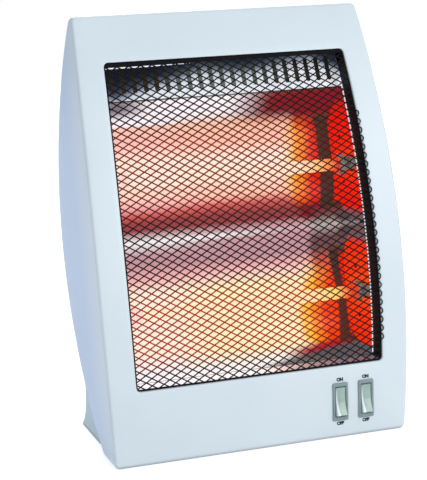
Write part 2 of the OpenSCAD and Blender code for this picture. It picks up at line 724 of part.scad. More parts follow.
module bracket(side) {
    difference() {
        translate([side * (bracket_x + bracket_t / 2), 0, 0]) along_x(bracket_t) {
            band(bracket_front, bracket_d, bracket_s[0], bracket_s[1]);
            band(bracket_front, bracket_slim, bracket_s[1] - 1, bracket_s[2]);
        }
        for (s = tube_s) on_face(s, tube_d) bar_x(neck_od / 2 + 0.2, -body_w / 2, body_w / 2);
    }
    for (s = tab_s) on_face(s) difference() {
        translate([side > 0 ? bracket_x : -bracket_x - tab_len, tab_d, -tab_w / 2]) cube([tab_len, bracket_t, tab_w]);
        translate([side * tab_x, 0, 0]) bar_y(screw_d / 2 + 0.2, tab_d - 1, tab_d + bracket_t + 1);
    }
}
module left_bracket() color([0.70, 0.71, 0.72]) bracket(-1);
module right_bracket() color([0.70, 0.71, 0.72]) bracket(1);

module heat_shield() color([0.68, 0.69, 0.70])
    along_x(2 * bracket_x) band(shield_d, shield_d + shield_t, shield_s[0], shield_s[1]);

// ---- Screws ----

module screw(len) {
    bar_y(screw_d / 2, -len, 0);
    bar_y(head_d / 2, 0, head_t);
}
module case_screws() color([0.45, 0.45, 0.47]) for (side = [-1, 1], i = [0:2])
    translate([side * boss_x, face_y(case_z[i]) + case_boss[i] + wall, case_z[i]]) screw(screw_len);
module bracket_screws() color([0.60, 0.60, 0.62]) for (side = [-1, 1], s = tab_s)
    on_face(s) translate([side * tab_x, tab_d + bracket_t, 0]) screw(10);

// ---- Rocker switches ----

switch_places = [body_w / 2 - switch_in - switch_pitch, body_w / 2 - switch_in];
switch_size = [bezel_w - 1.4, 16, bezel_h - 4];
switch_cut = [switch_size[0] + 0.4, 4 * wall, switch_size[2] + 0.4];
well = [rocker_w + 2 * rocker_gap, rocker_h + 2 * rocker_gap];
axle_r = 1;
axle_len = rocker_w + 2.2;

module switch_body(x) translate([x, y_face, switch_z]) difference() {
    union() {
        translate([0, -0.05, 0]) rotate([90, 0, 0]) linear_extrude(bezel_t - 0.05) rounded(bezel_w, bezel_h, 1.2);
        translate([-switch_size[0] / 2, -0.1, -switch_size[2] / 2]) cube(switch_size + [0, 0.1, 0]);
    }
    translate([-well[0] / 2, -bezel_t - 1, -well[1] / 2]) cube([well[0], bezel_t + 1 + 8.5, well[1]]);
    translate([0, rocker_pivot, 0]) bar_x(axle_r + 0.05, -axle_len / 2 - 0.1, axle_len / 2 + 0.1);
}

// A rocker between its two facets, its round ends and its back, leaning with its upper end in
module rocker(x) translate([x, y_face + rocker_pivot, switch_z]) rotate([-half_swing, 0, 0]) {
    along_x(rocker_w) intersection() {
        circle(rocker_h / 2);
        polygon([[-rocker_mid, 0], [-rocker_mid - rocker_h * rocker_slope, rocker_h],
            [3.5, rocker_h], [3.5, -rocker_h], [-rocker_mid - rocker_h * rocker_slope, -rocker_h]]);
    }
    bar_x(axle_r, -axle_len / 2, axle_len / 2);
}
module left_switch_body() color([0.72, 0.75, 0.72]) switch_body(switch_places[0]);
module right_switch_body() color([0.72, 0.75, 0.72]) switch_body(switch_places[1]);
module left_rocker() color([0.66, 0.70, 0.66]) rocker(switch_places[0]);
module right_rocker() color([0.66, 0.70, 0.66]) rocker(switch_places[1]);

blade_size = [4.8, 8, 0.8];
blade_pitch = 7;
blade_y = y_face + switch_size[1] + blade_size[1];
module switch_blades() color([0.80, 0.68, 0.35]) for (x = switch_places, i = [-1:1])
    translate([x - blade_size[0] / 2, y_face + switch_size[1], switch_z + i * blade_pitch - blade_size[2] / 2])
        cube(blade_size);

// ---- Tilt switch under the floor panel ----

collar_z = tilt_floor + tilt_wall + plunger_travel + 0.2;
tilt_top = tilt_floor + tilt_size[2] - tilt_wall;

module tilt_switch_body() color([0.20, 0.20, 0.22]) translate([0, tilt_y, 0]) difference() {
    translate([-tilt_size[0] / 2, -tilt_size[1] / 2, tilt_floor]) cube(tilt_size);
    translate([0, 0, tilt_floor - 1]) cylinder(tilt_wall + 2, r = plunger_d / 2 + plunger_gap);
    translate([0, 0, tilt_floor + tilt_wall]) cylinder(tilt_top - tilt_floor - tilt_wall, r = tilt_bore);
}
module tilt_plunger() color([0.85, 0.85, 0.82]) translate([0, tilt_y, 0]) {
    cylinder(collar_z + collar_t, r = plunger_d / 2);
    translate([0, 0, collar_z]) cylinder(collar_t, r = collar_r);
}
function helix_z(z1, z2, r, n, wire) = concat([[r, 0, z1]],
    [for (i = [0:n * curl_rings]) let (a = 360 * i / curl_rings, u = i / (n * curl_rings))
        [r * cos(a), r * sin(a), mix(z1 + wire, z2 - wire, u)]], [[r, 0, z2]]);
module tilt_spring() color([0.7, 0.7, 0.72]) translate([0, tilt_y, 0])
    swept(helix_z(collar_z + collar_t, tilt_top, (spring_od - spring_wire) / 2, spring_n, spring_wire),
        spring_wire / 2, 6, [0.01, 0.02, 1]);
echo(spring_gap = (tilt_top - collar_z - collar_t - 2 * spring_wire) / spring_n - spring_wire);

// ---- Electrical pieces behind the shield ----

module thermal_cutout() color([0.30, 0.28, 0.26]) on_face(cutout_s, shield_d + shield_t + 0.1) {
    bar_y(8, 0, 8);
    for (side = [-1, 1]) translate([side * 4 - 0.4, 8, -3]) cube([0.8, 7, 6]);
}
block_size = [36, 14, 12];
block_pitch = 11;
hole_z = tilt_floor + block_size[2] / 2;
block_x = gland_x + 10;
block_y = tilt_y - 6;
module terminal_block() color([0.9, 0.9, 0.86]) translate([block_x, block_y, tilt_floor]) difference() {
    translate([-block_size[0] / 2, -block_size[1] / 2, 0]) cube(block_size);
    for (i = [-1:1]) translate([i * block_pitch, 0, block_size[2] / 2]) {
        rotate([90, 0, 0]) cylinder(block_size[1] + 2, r = 2.2, center = true);
        cylinder(block_size[2], r = 2);
    }
}

wire_r = 1.2;
wire_x = boss_x + post_r + 2.4;
// Wires end face to face on the piece that they serve
module supply_wires() color([0.35, 0.25, 0.2]) for (i = [0, 1])
    swept([[gland_x - 1.5 + 3 * i, y_waist - wall - 3, gland_z], [gland_x - 1.5 + 3 * i, y_waist - 12, gland_z - 1],
        [gland_x + 2 + 6 * i, y_waist - 18, gland_z - 12], [block_x + (i - 1) * block_pitch, block_y + 15, hole_z + 13.5],
        [block_x + (i - 1) * block_pitch, block_y + 13, hole_z + 1.5],
        [block_x + (i - 1) * block_pitch, block_y + 11, hole_z + 0.1],
        [block_x + (i - 1) * block_pitch, block_y + block_size[1] / 2, hole_z]], wire_r);
module switch_wires() color([0.7, 0.1, 0.1]) for (i = [0, 1])
    swept([[block_x + i * block_pitch, block_y - block_size[1] / 2, hole_z],
        [block_x + i * block_pitch, block_y - 11, hole_z + 0.1],
        [block_x + 24 + 8 * i, block_y - 20 + 6 * i, hole_z + 1.5 + 3 * i],
        [0, blade_y + 10 + 8 * i, hole_z + 1.5 + 5 * i],
        [switch_places[i] - 14, blade_y + 13 + 6 * i, switch_z - 6 + 4 * i], [switch_places[i], blade_y + 8, switch_z],
        [switch_places[i], blade_y + 4, switch_z], [switch_places[i], blade_y, switch_z]], wire_r);
// From a switch under the right bracket, then up between its bosses and the side wall to a tube's pin
module tube_wires() color([0.85, 0.85, 0.82]) for (i = [0, 1]) {
    pin_y = at(tube_s[i], tube_d)[0];
    pin_z = at(tube_s[i], tube_d)[1];
    pin_x = neck_x + nut_t + 3 - wire_r;
    swept([[switch_places[i], blade_y, switch_z + blade_pitch], [switch_places[i], blade_y + 5, switch_z + blade_pitch],
        [switch_places[i] + 5, blade_y + 10, switch_z + 3.3 + 10 * i],
        [bracket_x - 1, blade_y + 16 + 10 * i, switch_z + 11.3 + 6 * i],
        [wire_x - 1, blade_y + 20 + 10 * i, switch_z + 21.3 + 3 * i], [wire_x, blade_y + 20 + 10 * i, case_low],
        [wire_x, pin_y + 6, pin_z - 24], [wire_x - 1, pin_y + 1, pin_z - 13],
        [pin_x, pin_y, pin_z - 8], [pin_x, pin_y, pin_z - lead_d / 2]], wire_r);
}

front_cover();
rear_cover();
guard();
guard_rim();
reflector();
vent_strip();
upper_left_end_plate();
upper_right_end_plate();
lower_left_end_plate();
lower_right_end_plate();
upper_tube();
lower_tube();
upper_coil();
lower_coil();
upper_left_cap();
upper_right_cap();
lower_left_cap();
lower_right_cap();
lead_pins();
terminal_nuts();
left_bracket();
right_bracket();
heat_shield();
left_switch_body();
right_switch_body();
left_rocker();
right_rocker();
switch_blades();
tilt_switch_body();
tilt_plunger();
tilt_spring();
thermal_cutout();
terminal_block();
supply_wires();
switch_wires();
tube_wires();
cord_gland();
case_screws();
bracket_screws();
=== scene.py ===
import bpy
import bmesh
from math import sin, cos, tan, asin, sqrt, pi, radians, ceil
from mathutils import Vector, Matrix


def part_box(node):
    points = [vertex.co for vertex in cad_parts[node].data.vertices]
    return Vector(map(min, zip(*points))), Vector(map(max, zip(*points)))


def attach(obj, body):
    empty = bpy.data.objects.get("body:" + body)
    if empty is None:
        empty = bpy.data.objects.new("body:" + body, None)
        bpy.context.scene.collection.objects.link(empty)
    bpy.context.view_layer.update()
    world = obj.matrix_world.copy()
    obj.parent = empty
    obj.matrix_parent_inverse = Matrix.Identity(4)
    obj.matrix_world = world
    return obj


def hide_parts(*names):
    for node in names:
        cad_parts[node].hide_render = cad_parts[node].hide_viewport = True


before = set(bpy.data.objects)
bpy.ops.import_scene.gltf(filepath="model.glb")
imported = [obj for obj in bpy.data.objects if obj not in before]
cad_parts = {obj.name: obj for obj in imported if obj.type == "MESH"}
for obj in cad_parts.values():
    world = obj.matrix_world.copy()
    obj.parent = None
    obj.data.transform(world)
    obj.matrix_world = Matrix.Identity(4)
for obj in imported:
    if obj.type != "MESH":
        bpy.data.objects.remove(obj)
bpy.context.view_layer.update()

bpy.context.scene.view_settings.view_transform = "Standard"
print("frame loaded", len(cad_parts), "pieces")


def addObject(name, data):
    made = bpy.data.objects.new(name, data)
    bpy.context.scene.collection.objects.link(made)
    return made


def addMesh(name, verts, faces):
    mesh = bpy.data.meshes.new(name)
    mesh.from_pydata(verts, [], faces)
    bm = bmesh.new()
    bm.from_mesh(mesh)
    bmesh.ops.recalc_face_normals(bm, faces=bm.faces)
    bm.to_mesh(mesh)
    bm.free()
    return addObject(name, mesh)


def paintOver(piece, paint):
    piece.data.materials.clear()
    piece.data.materials.append(paint)


def dress(piece, paint, replaces=(), body="root", crease=35):
    paintOver(piece, paint)
    piece.data.shade_smooth()
    piece.data.set_sharp_from_angle(angle=radians(crease))
    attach(piece, body)
    if replaces:
        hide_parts(*replaces)


def applyModifiers(piece):
    bpy.context.view_layer.update()
    seen = piece.evaluated_get(bpy.context.evaluated_depsgraph_get())
    solid = bpy.data.meshes.new_from_object(seen)
    piece.modifiers.clear()
    piece.data = solid


def mix(a, b, t):
    return a + (b - a) * t


# quads between rings of points
def loft(rings, closed=True, loop=False, caps=False):
    n = len(rings[0])
    m = len(rings)
    verts = [p for ring in rings for p in ring]
    faces = []
    for k in range(m if loop else m - 1):
        for i in range(n if closed else n - 1):
            j = (i + 1) % n
            low, high = k * n, ((k + 1) % m) * n
            faces.append((low + i, low + j, high + j, high + i))
    if caps:
        faces.append(tuple(range(n)))
        faces.append(tuple((m - 1) * n + i for i in range(n)))
    return verts, faces


def turnSteps(sides):
    return [2 * pi * k / sides for k in range(sides)]


# rings about a line along X through centre, from (distance, radius) points
def turnedRings(centre, profile, sides, way=1):
    turns = turnSteps(sides)
    return [[centre + Vector((way * x, r * cos(a), r * sin(a))) for a in turns] for x, r in profile]


class Stock:
    # gathers several shapes into one mesh
    def __init__(self):
        self.verts, self.faces = [], []

    def add(self, verts, faces):
        start = len(self.verts)
        self.verts += [Vector(p) for p in verts]
        self.faces += [tuple(start + i for i in f) for f in faces]

    # up is any direction that the path doesn't run along
    def sweep(self, path, radius, sides=8, flat=1, up=Vector((0.31, 0.22, 0.93))):
        rings = []
        for i, p in enumerate(path):
            along = (path[min(i + 1, len(path) - 1)] - path[max(i - 1, 0)]).normalized()
            u = along.cross(up).normalized()
            v = along.cross(u)
            rings.append([p + radius * (cos(a) * u + flat * sin(a) * v) for a in turnSteps(sides)])
        self.add(*loft(rings, caps=True))

    # a turned shape: profile of (distance along the axis, radius)
    def turn(self, centre, axis, profile, sides):
        axis = axis.normalized()
        u = axis.orthogonal().normalized()
        v = axis.cross(u)
        rings = []
        for t, r in profile:
            rings.append([centre + axis * t + r * (cos(a) * u + sin(a) * v) for a in turnSteps(sides)])
        self.add(*loft(rings, caps=True))


def tone(red, green, blue):
    def linear(c):
        c = c / 255
        return c / 12.92 if c <= 0.04045 else ((c + 0.055) / 1.055) ** 2.4
    return (linear(red), linear(green), linear(blue), 1)


# a ramp's stops, from (place, red, green, blue)
def tones(*rows):
    return [(at, tone(*rgb)) for at, *rgb in rows]


# gives a socket a value, or links another socket to it
def feed(socket, value):
    if isinstance(value, (int, float, tuple)):
        socket.default_value = value
    else:
        socket.id_data.links.new(value, socket)


def addNode(tree, kind, **values):
    node = tree.nodes.new(kind)
    for name, value in values.items():
        socket = name.replace("_", " ")
        if socket in node.inputs:
            feed(node.inputs[socket], value)
        else:
            setattr(node, name, value)
    return node


def axis(vector, letter):
    return addNode(vector.id_data, "ShaderNodeSeparateXYZ", Vector=vector).outputs[letter]


def addRamp(factor, stops):
    node = addNode(factor.id_data, "ShaderNodeValToRGB", Fac=factor)
    ramp = node.color_ramp.elements
    ramp[0].position, ramp[0].color = stops[0]
    ramp[1].position, ramp[1].color = stops[-1]
    for at, colour in stops[1:-1]:
        ramp.new(at).color = colour
    return node.outputs["Color"]


def remap(value, low, high, newLow=0, newHigh=1):
    return addNode(value.id_data, "ShaderNodeMapRange", Value=value, From_Min=low, From_Max=high,
                   To_Min=newLow, To_Max=newHigh).outputs["Result"]


def smoothStep(value, start, end):
    return addNode(value.id_data, "ShaderNodeMapRange", interpolation_type="SMOOTHSTEP", Value=value,
                   From_Min=start, From_Max=end).outputs["Result"]


# a number that follows a line of (place, number) points
def followLine(value, points):
    low, high = min(n for at, n in points), max(n for at, n in points)
    greys = [(at, ((n - low) / (high - low),) * 3 + (1,)) for at, n in points]
    return remap(addRamp(value, greys), 0, 1, low, high)


def addMath(operation, *terms):
    node = addNode(terms[0].id_data, "ShaderNodeMath", operation=operation)
    for term, socket in zip(terms, node.inputs):
        feed(socket, term)
    return node.outputs[0]


def mixColour(factor, first, second):
    node = addNode(factor.id_data, "ShaderNodeMix", data_type="RGBA", Factor=factor)
    feed(node.inputs[6], first)
    feed(node.inputs[7], second)
    return node.outputs[2]


# lays another colour over one, as far as both shares reach
def layOver(colour, cover, first, second):
    return mixColour(addMath("MULTIPLY", first, second), colour, cover)


def multiply(first, second):
    node = addNode(first.id_data, "ShaderNodeMix", data_type="RGBA", blend_type="MULTIPLY", Factor=1)
    feed(node.inputs[6], first)
    feed(node.inputs[7], second)
    return node.outputs[2]


# distance from a line along X through (y, z), with what lies along Y counted at a share
def awayFrom(place, y, z, share=1):
    flat = addNode(place.id_data, "ShaderNodeVectorMath", operation="MULTIPLY")
    feed(flat.inputs[0], place)
    feed(flat.inputs[1], (0, share, 1))
    away = addNode(place.id_data, "ShaderNodeVectorMath", operation="DISTANCE")
    feed(away.inputs[0], flat.outputs[0])
    feed(away.inputs[1], (0, y * share, z))
    return away.outputs["Value"]


def addNoise(place, size, detail):
    node = addNode(place.id_data, "ShaderNodeTexNoise", Vector=place, Scale=size, Detail=detail)
    return node.outputs["Fac"]


# a finish: two close tones mottled by noise, a range of roughness and a fine bump
def makeFinish(name, look):
    material = bpy.data.materials.new(name)
    material.use_nodes = True
    tree = material.node_tree
    shader = tree.nodes["Principled BSDF"]
    place = tree.nodes.new("ShaderNodeTexCoord").outputs["Object"]
    stretch = addNode(tree, "ShaderNodeMapping", Vector=place, Scale=look.get("stretch", (1, 1, 1)))
    mottle, grain = (addNoise(stretch.outputs["Vector"], look[size], 4) for size in ("mottle", "grain"))
    bump = addNode(tree, "ShaderNodeBump", Height=grain, Strength=look["bump"],
                   Distance=look.get("bumpDepth", 0.0002))
    feed(shader.inputs["Base Color"], addRamp(mottle, [(0.35, look["dark"]), (0.65, look["light"])]))
    feed(shader.inputs["Roughness"], remap(grain, 0.3, 0.7, *look["rough"]))
    feed(shader.inputs["Normal"], bump.outputs["Normal"])
    for socket, key, usual in (("Metallic", "metal", 0), ("Specular IOR Level", "gloss", 0.5),
                               ("Coat Weight", "coat", 0), ("Coat Roughness", "coatRough", 0.1)):
        feed(shader.inputs[socket], look.get(key, usual))
    return material, shader, place


def baseColour(shader):
    return shader.inputs["Base Color"].links[0].from_socket


def addGlow(shader, colour, strength):
    feed(shader.inputs["Emission Color"], colour)
    feed(shader.inputs["Emission Strength"], strength)


photoFrame = {
    "width": 427, "focal": 1546.85,                     # pixels
    "sensor": 36,                                       # mm
    "from": (-0.4095, -1.1611, 0.4068), "to": (-0.01714, -0.00238, 0.16056),
    "tilt": 2.008,                                      # degrees, right side of the camera down
}


def makeCamera():
    data = bpy.data.cameras.new("camera")
    data.sensor_fit = "HORIZONTAL"
    data.sensor_width = photoFrame["sensor"]
    data.lens = photoFrame["focal"] * photoFrame["sensor"] / photoFrame["width"]
    data.clip_start, data.clip_end = 0.05, 50
    camera = addObject("camera", data)
    eye, aim = Vector(photoFrame["from"]), Vector(photoFrame["to"])
    level = (aim - eye).to_track_quat("-Z", "Y").to_matrix().to_4x4()
    tilt = Matrix.Rotation(-radians(photoFrame["tilt"]), 4, "Z")
    camera.matrix_world = Matrix.Translation(eye) @ level @ tilt
    bpy.context.scene.camera = camera


studio = {
    "worldColour": (0.9, 0.95, 1, 1), "worldLight": 0.56,
    "floor": (0.8, 0.81, 0.82, 1), "floorRough": 0.7, "floorLift": 0.6, "floorReach": 6,
    "aim": (0, 0, 0.15),
    "lamps": [                                          # name, place, size, watts, colour
        ("key", (1.5, -2.5, 1.2), 1.6, 46, (1, 0.98, 0.97)),
        ("fill", (-2.4, -1.6, 1.1), 2.2, 11, (0.76, 0.89, 1)),
        ("top", (0.2, 0.6, 2.6), 2, 8, (1, 1, 1)),
        ("rear", (0.9, 2.7, 1.3), 2, 38, (1, 0.98, 0.94))],
}


# soft light all round, and plain white where the camera sees past the object
def makeStudio():
    world = bpy.data.worlds.new("studio")
    bpy.context.scene.world = world
    world.use_nodes = True
    tree = world.node_tree
    tree.nodes.clear()
    rays = tree.nodes.new("ShaderNodeLightPath").outputs
    light = addNode(tree, "ShaderNodeBackground", Color=studio["worldColour"], Strength=studio["worldLight"])
    white = addNode(tree, "ShaderNodeBackground", Color=(1, 1, 1, 1), Strength=1)
    direct = addMath("MAXIMUM", rays["Is Camera Ray"], rays["Is Transmission Ray"])
    blend = addNode(tree, "ShaderNodeMixShader", Fac=direct)
    feed(blend.inputs[1], light.outputs[0])
    feed(blend.inputs[2], white.outputs[0])
    addNode(tree, "ShaderNodeOutputWorld", Surface=blend.outputs[0])
    for name, place, size, watts, colour in studio["lamps"]:
        data = bpy.data.lights.new(name, "AREA")
        data.size, data.energy, data.color = size, watts, colour
        lamp = addObject(name, data)
        lamp.location = place
        lamp.rotation_euler = (Vector(studio["aim"]) - Vector(place)).to_track_quat("-Z", "Y").to_euler()


def makeFloor():
    material = bpy.data.materials.new("floorWhite")
    material.use_nodes = True
    tree = material.node_tree
    shader = tree.nodes["Principled BSDF"]
    feed(shader.inputs["Base Color"], studio["floor"])
    feed(shader.inputs["Roughness"], studio["floorRough"])
    rays = tree.nodes.new("ShaderNodeLightPath").outputs
    seen = addMath("MAXIMUM", rays["Is Camera Ray"], rays["Is Glossy Ray"])
    seen = addMath("MAXIMUM", seen, rays["Is Transmission Ray"])
    addGlow(shader, (1, 1, 1, 1), addMath("MULTIPLY", seen, studio["floorLift"]))
    reach = studio["floorReach"]
    corners = [(-reach, -reach, 0), (reach, -reach, 0), (reach, reach, 0), (-reach, reach, 0)]
    mesh = bpy.data.meshes.new("floor")
    mesh.from_pydata(corners, [], [(0, 1, 2, 3)])
    mesh.materials.append(material)
    floor = addObject("floor", mesh)


makeCamera()
makeStudio()
makeFloor()
print("camera, lamps and floor placed")

# the housing: the face and the back are arcs in side view, and the sides bow in front view
housing = {
    "depth": 0.13, "faceZ": 0.035, "backRun": 0.137, "backDrop": 0.036, "roof": 0.012,
    "sideRadius": 2.5, "sideZ": 0.15, "sideBand": 0.0227, "topBand": 0.0354,
    "edge": 0.0024, "corner": 0.01, "frontCorner": 0.0045, "lip": 0.005, "wall": 0.0025,
    "windowLow": 0.06, "windowCorner": 0.0035, "windowDepth": 0.018, "windowEdge": 0.001,
    "leastCorner": 0.001, "cornerSteps": 9, "sideSteps": 44, "acrossSteps": 20,
}
low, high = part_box("front_cover")
yFace, halfWidth, height = low.y, high.x, high.z
yBack = yFace + housing["depth"]
faceLean = housing["depth"] - housing["roof"] - housing["backDrop"]
faceRadius = ((height - housing["faceZ"]) ** 2 + faceLean ** 2) / (2 * faceLean)
backZ = height - housing["backRun"]
backRadius = (housing["backRun"] ** 2 + housing["backDrop"] ** 2) / (2 * housing["backDrop"])
windowX = halfWidth - housing["sideBand"]
windowTop = height - housing["topBand"]


def faceY(z, d=0):
    return yFace + faceRadius - sqrt((faceRadius - d) ** 2 - (z - housing["faceZ"]) ** 2)


def backY(z, d=0):
    return yBack - backRadius + sqrt((backRadius - d) ** 2 - (z - backZ) ** 2)


def bow(z):
    return (z - housing["sideZ"]) ** 2 / (2 * housing["sideRadius"])


# a place s up the curved face and d behind it
def atFace(x, s, d):
    a, r = s / faceRadius, faceRadius - d
    return Vector((x, yFace + faceRadius - r * cos(a), housing["faceZ"] + r * sin(a)))


def upFace(z):
    return faceRadius * asin((z - housing["faceZ"]) / faceRadius)


# a bar across the face: its section in (place up the face, depth), at each place in xs
def acrossFace(section, xs):
    return loft([[atFace(x, s, d) for s, d in section] for x in xs], caps=True)


windowS1, windowS2 = upFace(housing["windowLow"]), upFace(windowTop)


# closed outline in front view with half width a, from height z1 to z2
def outline(a, z1, z2, r):
    def corner(x, z, start):
        n = housing["cornerSteps"]
        turns = [start + pi / 2 * i / n for i in range(n + 1)]
        return [(x + r * cos(t), z + r * sin(t)) for t in turns]

    def side(p, q, n):
        return [(mix(p[0], q[0], i / (n + 1)), mix(p[1], q[1], i / (n + 1))) for i in range(1, n + 1)]

    up, wide = housing["sideSteps"], housing["acrossSteps"]
    flat = corner(a - r, z1 + r, -pi / 2) + side((a, z1 + r), (a, z2 - r), up)
    flat += corner(a - r, z2 - r, 0) + side((a - r, z2), (r - a, z2), wide)
    flat += corner(r - a, z2 - r, pi / 2) + side((-a, z2 - r), (-a, z1 + r), up)
    flat += corner(r - a, z1 + r, pi) + side((r - a, z1), (a - r, z1), wide)
    return [(x * (1 - bow(z) / halfWidth), z) for x, z in flat]


def frontRing(a, z1, z2, r, d):
    return [Vector((x, faceY(z, d), z)) for x, z in outline(a, z1, z2, r)]


def backRing(a, z1, z2, r, d):
    return [Vector((x, backY(z, d), z)) for x, z in outline(a, z1, z2, r)]


def insetCorner(i):
    return max(housing["frontCorner"] - i, housing["leastCorner"])


def insetFront(i, d):
    return frontRing(halfWidth - i, i, height - i, insetCorner(i), d)


def insetBack(i, d):
    r = mix(housing["frontCorner"], housing["corner"] - housing["lip"], i / housing["lip"])
    return backRing(halfWidth - i, i, height - i, r, d)


def windowRing(o, d):
    return frontRing(windowX + o, housing["windowLow"] - o, windowTop + o, housing["windowCorner"] + o, d)


# a ring between the shell's edge, inset by i, and the window, widened by o
def betweenRing(i, o, t, d):
    shell = (halfWidth - i, i, height - i, insetCorner(i))
    window = (windowX + o, housing["windowLow"] - o, windowTop + o, housing["windowCorner"] + o)
    return frontRing(*(mix(p, q, t) for p, q in zip(shell, window)), d)


frontPlastic = {
    "dark": tone(206, 218, 236), "light": tone(212, 223, 240), "mottle": 9, "grain": 900,
    "rough": (0.36, 0.46), "bump": 0.05, "gloss": 0.45, "coat": 0.12, "coatRough": 0.25,
    # painted light: the sides darker and bluer further behind the face
    "sides": tones((0, 255, 255, 243), (0.012, 255, 255, 243), (0.03, 251, 253, 246), (0.25, 238, 244, 251),
                   (0.5, 222, 235, 250), (1, 222, 235, 250)),
    "sidesReach": 0.1, "undersideReach": 0.005,
    # painted shade: greyer along the bottom edge
    "underside": tones((0, 200, 200, 200), (0.35, 222, 222, 222), (0.6, 250, 250, 250), (1, 255, 255, 255)),
}


# the moulded plastic: painted light a little bluer behind the face, and painted shade
# a little greyer along the bottom edge
def plasticPaint(name, look):
    material, shader, place = makeFinish(name, look)
    away = awayFrom(place, yFace + faceRadius, housing["faceZ"])
    behind = remap(away, faceRadius, faceRadius - frontPlastic["sidesReach"])
    up = remap(axis(place, "Z"), 0, frontPlastic["undersideReach"])
    paintedLightTint = multiply(addRamp(behind, look["sides"]), addRamp(up, frontPlastic["underside"]))
    feed(shader.inputs["Base Color"], multiply(baseColour(shader), paintedLightTint))
    return material


switchHoles = {"places": [0.0653, 0.0877], "height": 0.0307, "size": (0.012, 0.02, 0.0279)}
switchZ = switchHoles["height"]


def cutHole(shell, x):
    mesh = bpy.data.meshes.new("cutter")
    bm = bmesh.new()
    place = Matrix.Translation((x, yFace, switchZ)) @ Matrix.Diagonal((*switchHoles["size"], 1))
    bmesh.ops.create_cube(bm, size=1, matrix=place)
    bm.to_mesh(mesh)
    bm.free()
    cutter = addObject("cutter", mesh)
    cut = shell.modifiers.new("switchCut", "BOOLEAN")
    cut.object, cut.operation, cut.solver = cutter, "DIFFERENCE", "EXACT"
    applyModifiers(shell)
    bpy.data.objects.remove(cutter)


def makeFrontShell():
    edge, lip, wall, rim = (housing[name] for name in ("edge", "lip", "wall", "windowEdge"))
    depth = housing["windowDepth"]
    turns = [pi / 2 * i / 8 for i in range(9)]
    rings = [windowRing(0, depth), windowRing(0, depth / 2)]     # out of the window and over the face
    rings += [windowRing(rim * (1 - cos(a)), rim * (1 - sin(a))) for a in turns[::2]]
    rings += [betweenRing(edge, rim, t, 0) for t in (0.8, 0.6, 0.4, 0.2)]
    rings += [insetFront(edge * (1 - sin(a)), edge * (1 - cos(a))) for a in turns]
    front, back = insetFront(0, edge), insetBack(0, lip)
    rings += [[p.lerp(q, t) for p, q in zip(front, back)] for t in (0.25, 0.5, 0.75)]
    rings += [insetBack(lip * (1 - cos(a)), lip * (1 - sin(a))) for a in turns]
    rings += [insetBack(lip, wall), insetBack(wall, lip + 0.001)]     # and back along the inside
    rings += [insetFront(wall, edge), insetFront(edge, wall)]
    rings += [betweenRing(edge, wall, t, wall) for t in (0.33, 0.67)]
    rings += [windowRing(wall, wall), windowRing(wall, depth)]
    shell = addMesh("frontShell", *loft(rings, loop=True))
    for x in switchHoles["places"]:
        cutHole(shell, x)
    dress(shell, plasticPaint("frontPlastic", frontPlastic), ["front_cover"])


makeFrontShell()
print("front shell made")

guard = {
    "gap": 0.0003, "cellWidth": 0.0095, "cellHeight": 0.0057, "strand": 0.00105, "flat": 0.75,
    "depth": 0.0021, "layer": 0.00018, "hem": 0.001, "hemShare": 0.7, "hemDepth": 0.0015,
    "rimWall": 0.0008, "rimNear": 0.0013, "rimFar": 0.003, "rimBack": 0.0155, "soft": 0.0003,
    "topBar": 0.0021, "topGap": 0.0002, "barSteps": 32, "strandUp": Vector((0, 1, -0.2)), "endTries": 6,
}
wireLoops = {
    "radius": 0.0017, "tall": 1.35, "inward": 0.2, "wire": 0.0005, "from": 0.045, "to": 0.236, "pitch": 0.007,
    "depth": 0.0004, "forward": 0.0009, "start": -110, "turn": 22, "steps": 11,  # start and turn in degrees
}
enamel = {
    "dark": tone(4, 4, 8), "light": tone(8, 8, 14), "mottle": 160, "grain": 1400,
    "rough": (0.5, 0.66), "bump": 0.12, "gloss": 0.12,
    # painted light: the red glow from behind, painted onto the black strands
    "paintedRedLight": tones((0, 0, 0, 0), (0.05, 0, 0, 0), (0.11, 165, 16, 22), (0.27, 165, 16, 22),
                    (0.33, 60, 8, 18), (0.4, 0, 0, 0), (0.5, 0, 0, 0), (0.57, 120, 10, 20),
                    (0.74, 130, 12, 24), (0.81, 0, 0, 0), (1, 0, 0, 0)),      # red light by height
    "share": [(-0.105, 1), (0.045, 1), (0.062, 0.4), (0.085, 0.1), (0.096, 0), (0.105, 0)],    # along X
    "reach": 0.105,
}


def guardHalf(s):
    half = windowX - guard["gap"] - guard["hem"] * guard["hemShare"]
    return half * (1 - bow(atFace(0, s, guard["hemDepth"]).z) / halfWidth)


def strandPath(c, way, s1, s2):
    slope = guard["cellWidth"] / guard["cellHeight"]
    rows = max(2, ceil((s2 - s1) / guard["cellHeight"] * 2))
    levels = [mix(s1, s2, k / rows) for k in range(rows + 1)]
    return [atFace(c + way * slope * s, s, guard["depth"] + way * guard["layer"]) for s in levels]


# painted light: the black strands glow red by height, fading out along X towards the right end
def guardPaint():
    material, shader, place = makeFinish("meshEnamel", enamel)
    reach = enamel["reach"]
    rise = remap(axis(place, "Z"), housing["windowLow"], windowTop)
    across = remap(axis(place, "X"), -reach, reach)
    shares = [((x + reach) / (2 * reach), share) for x, share in enamel["share"]]
    addGlow(shader, addRamp(rise, enamel["paintedRedLight"]), followLine(across, shares))
    return material


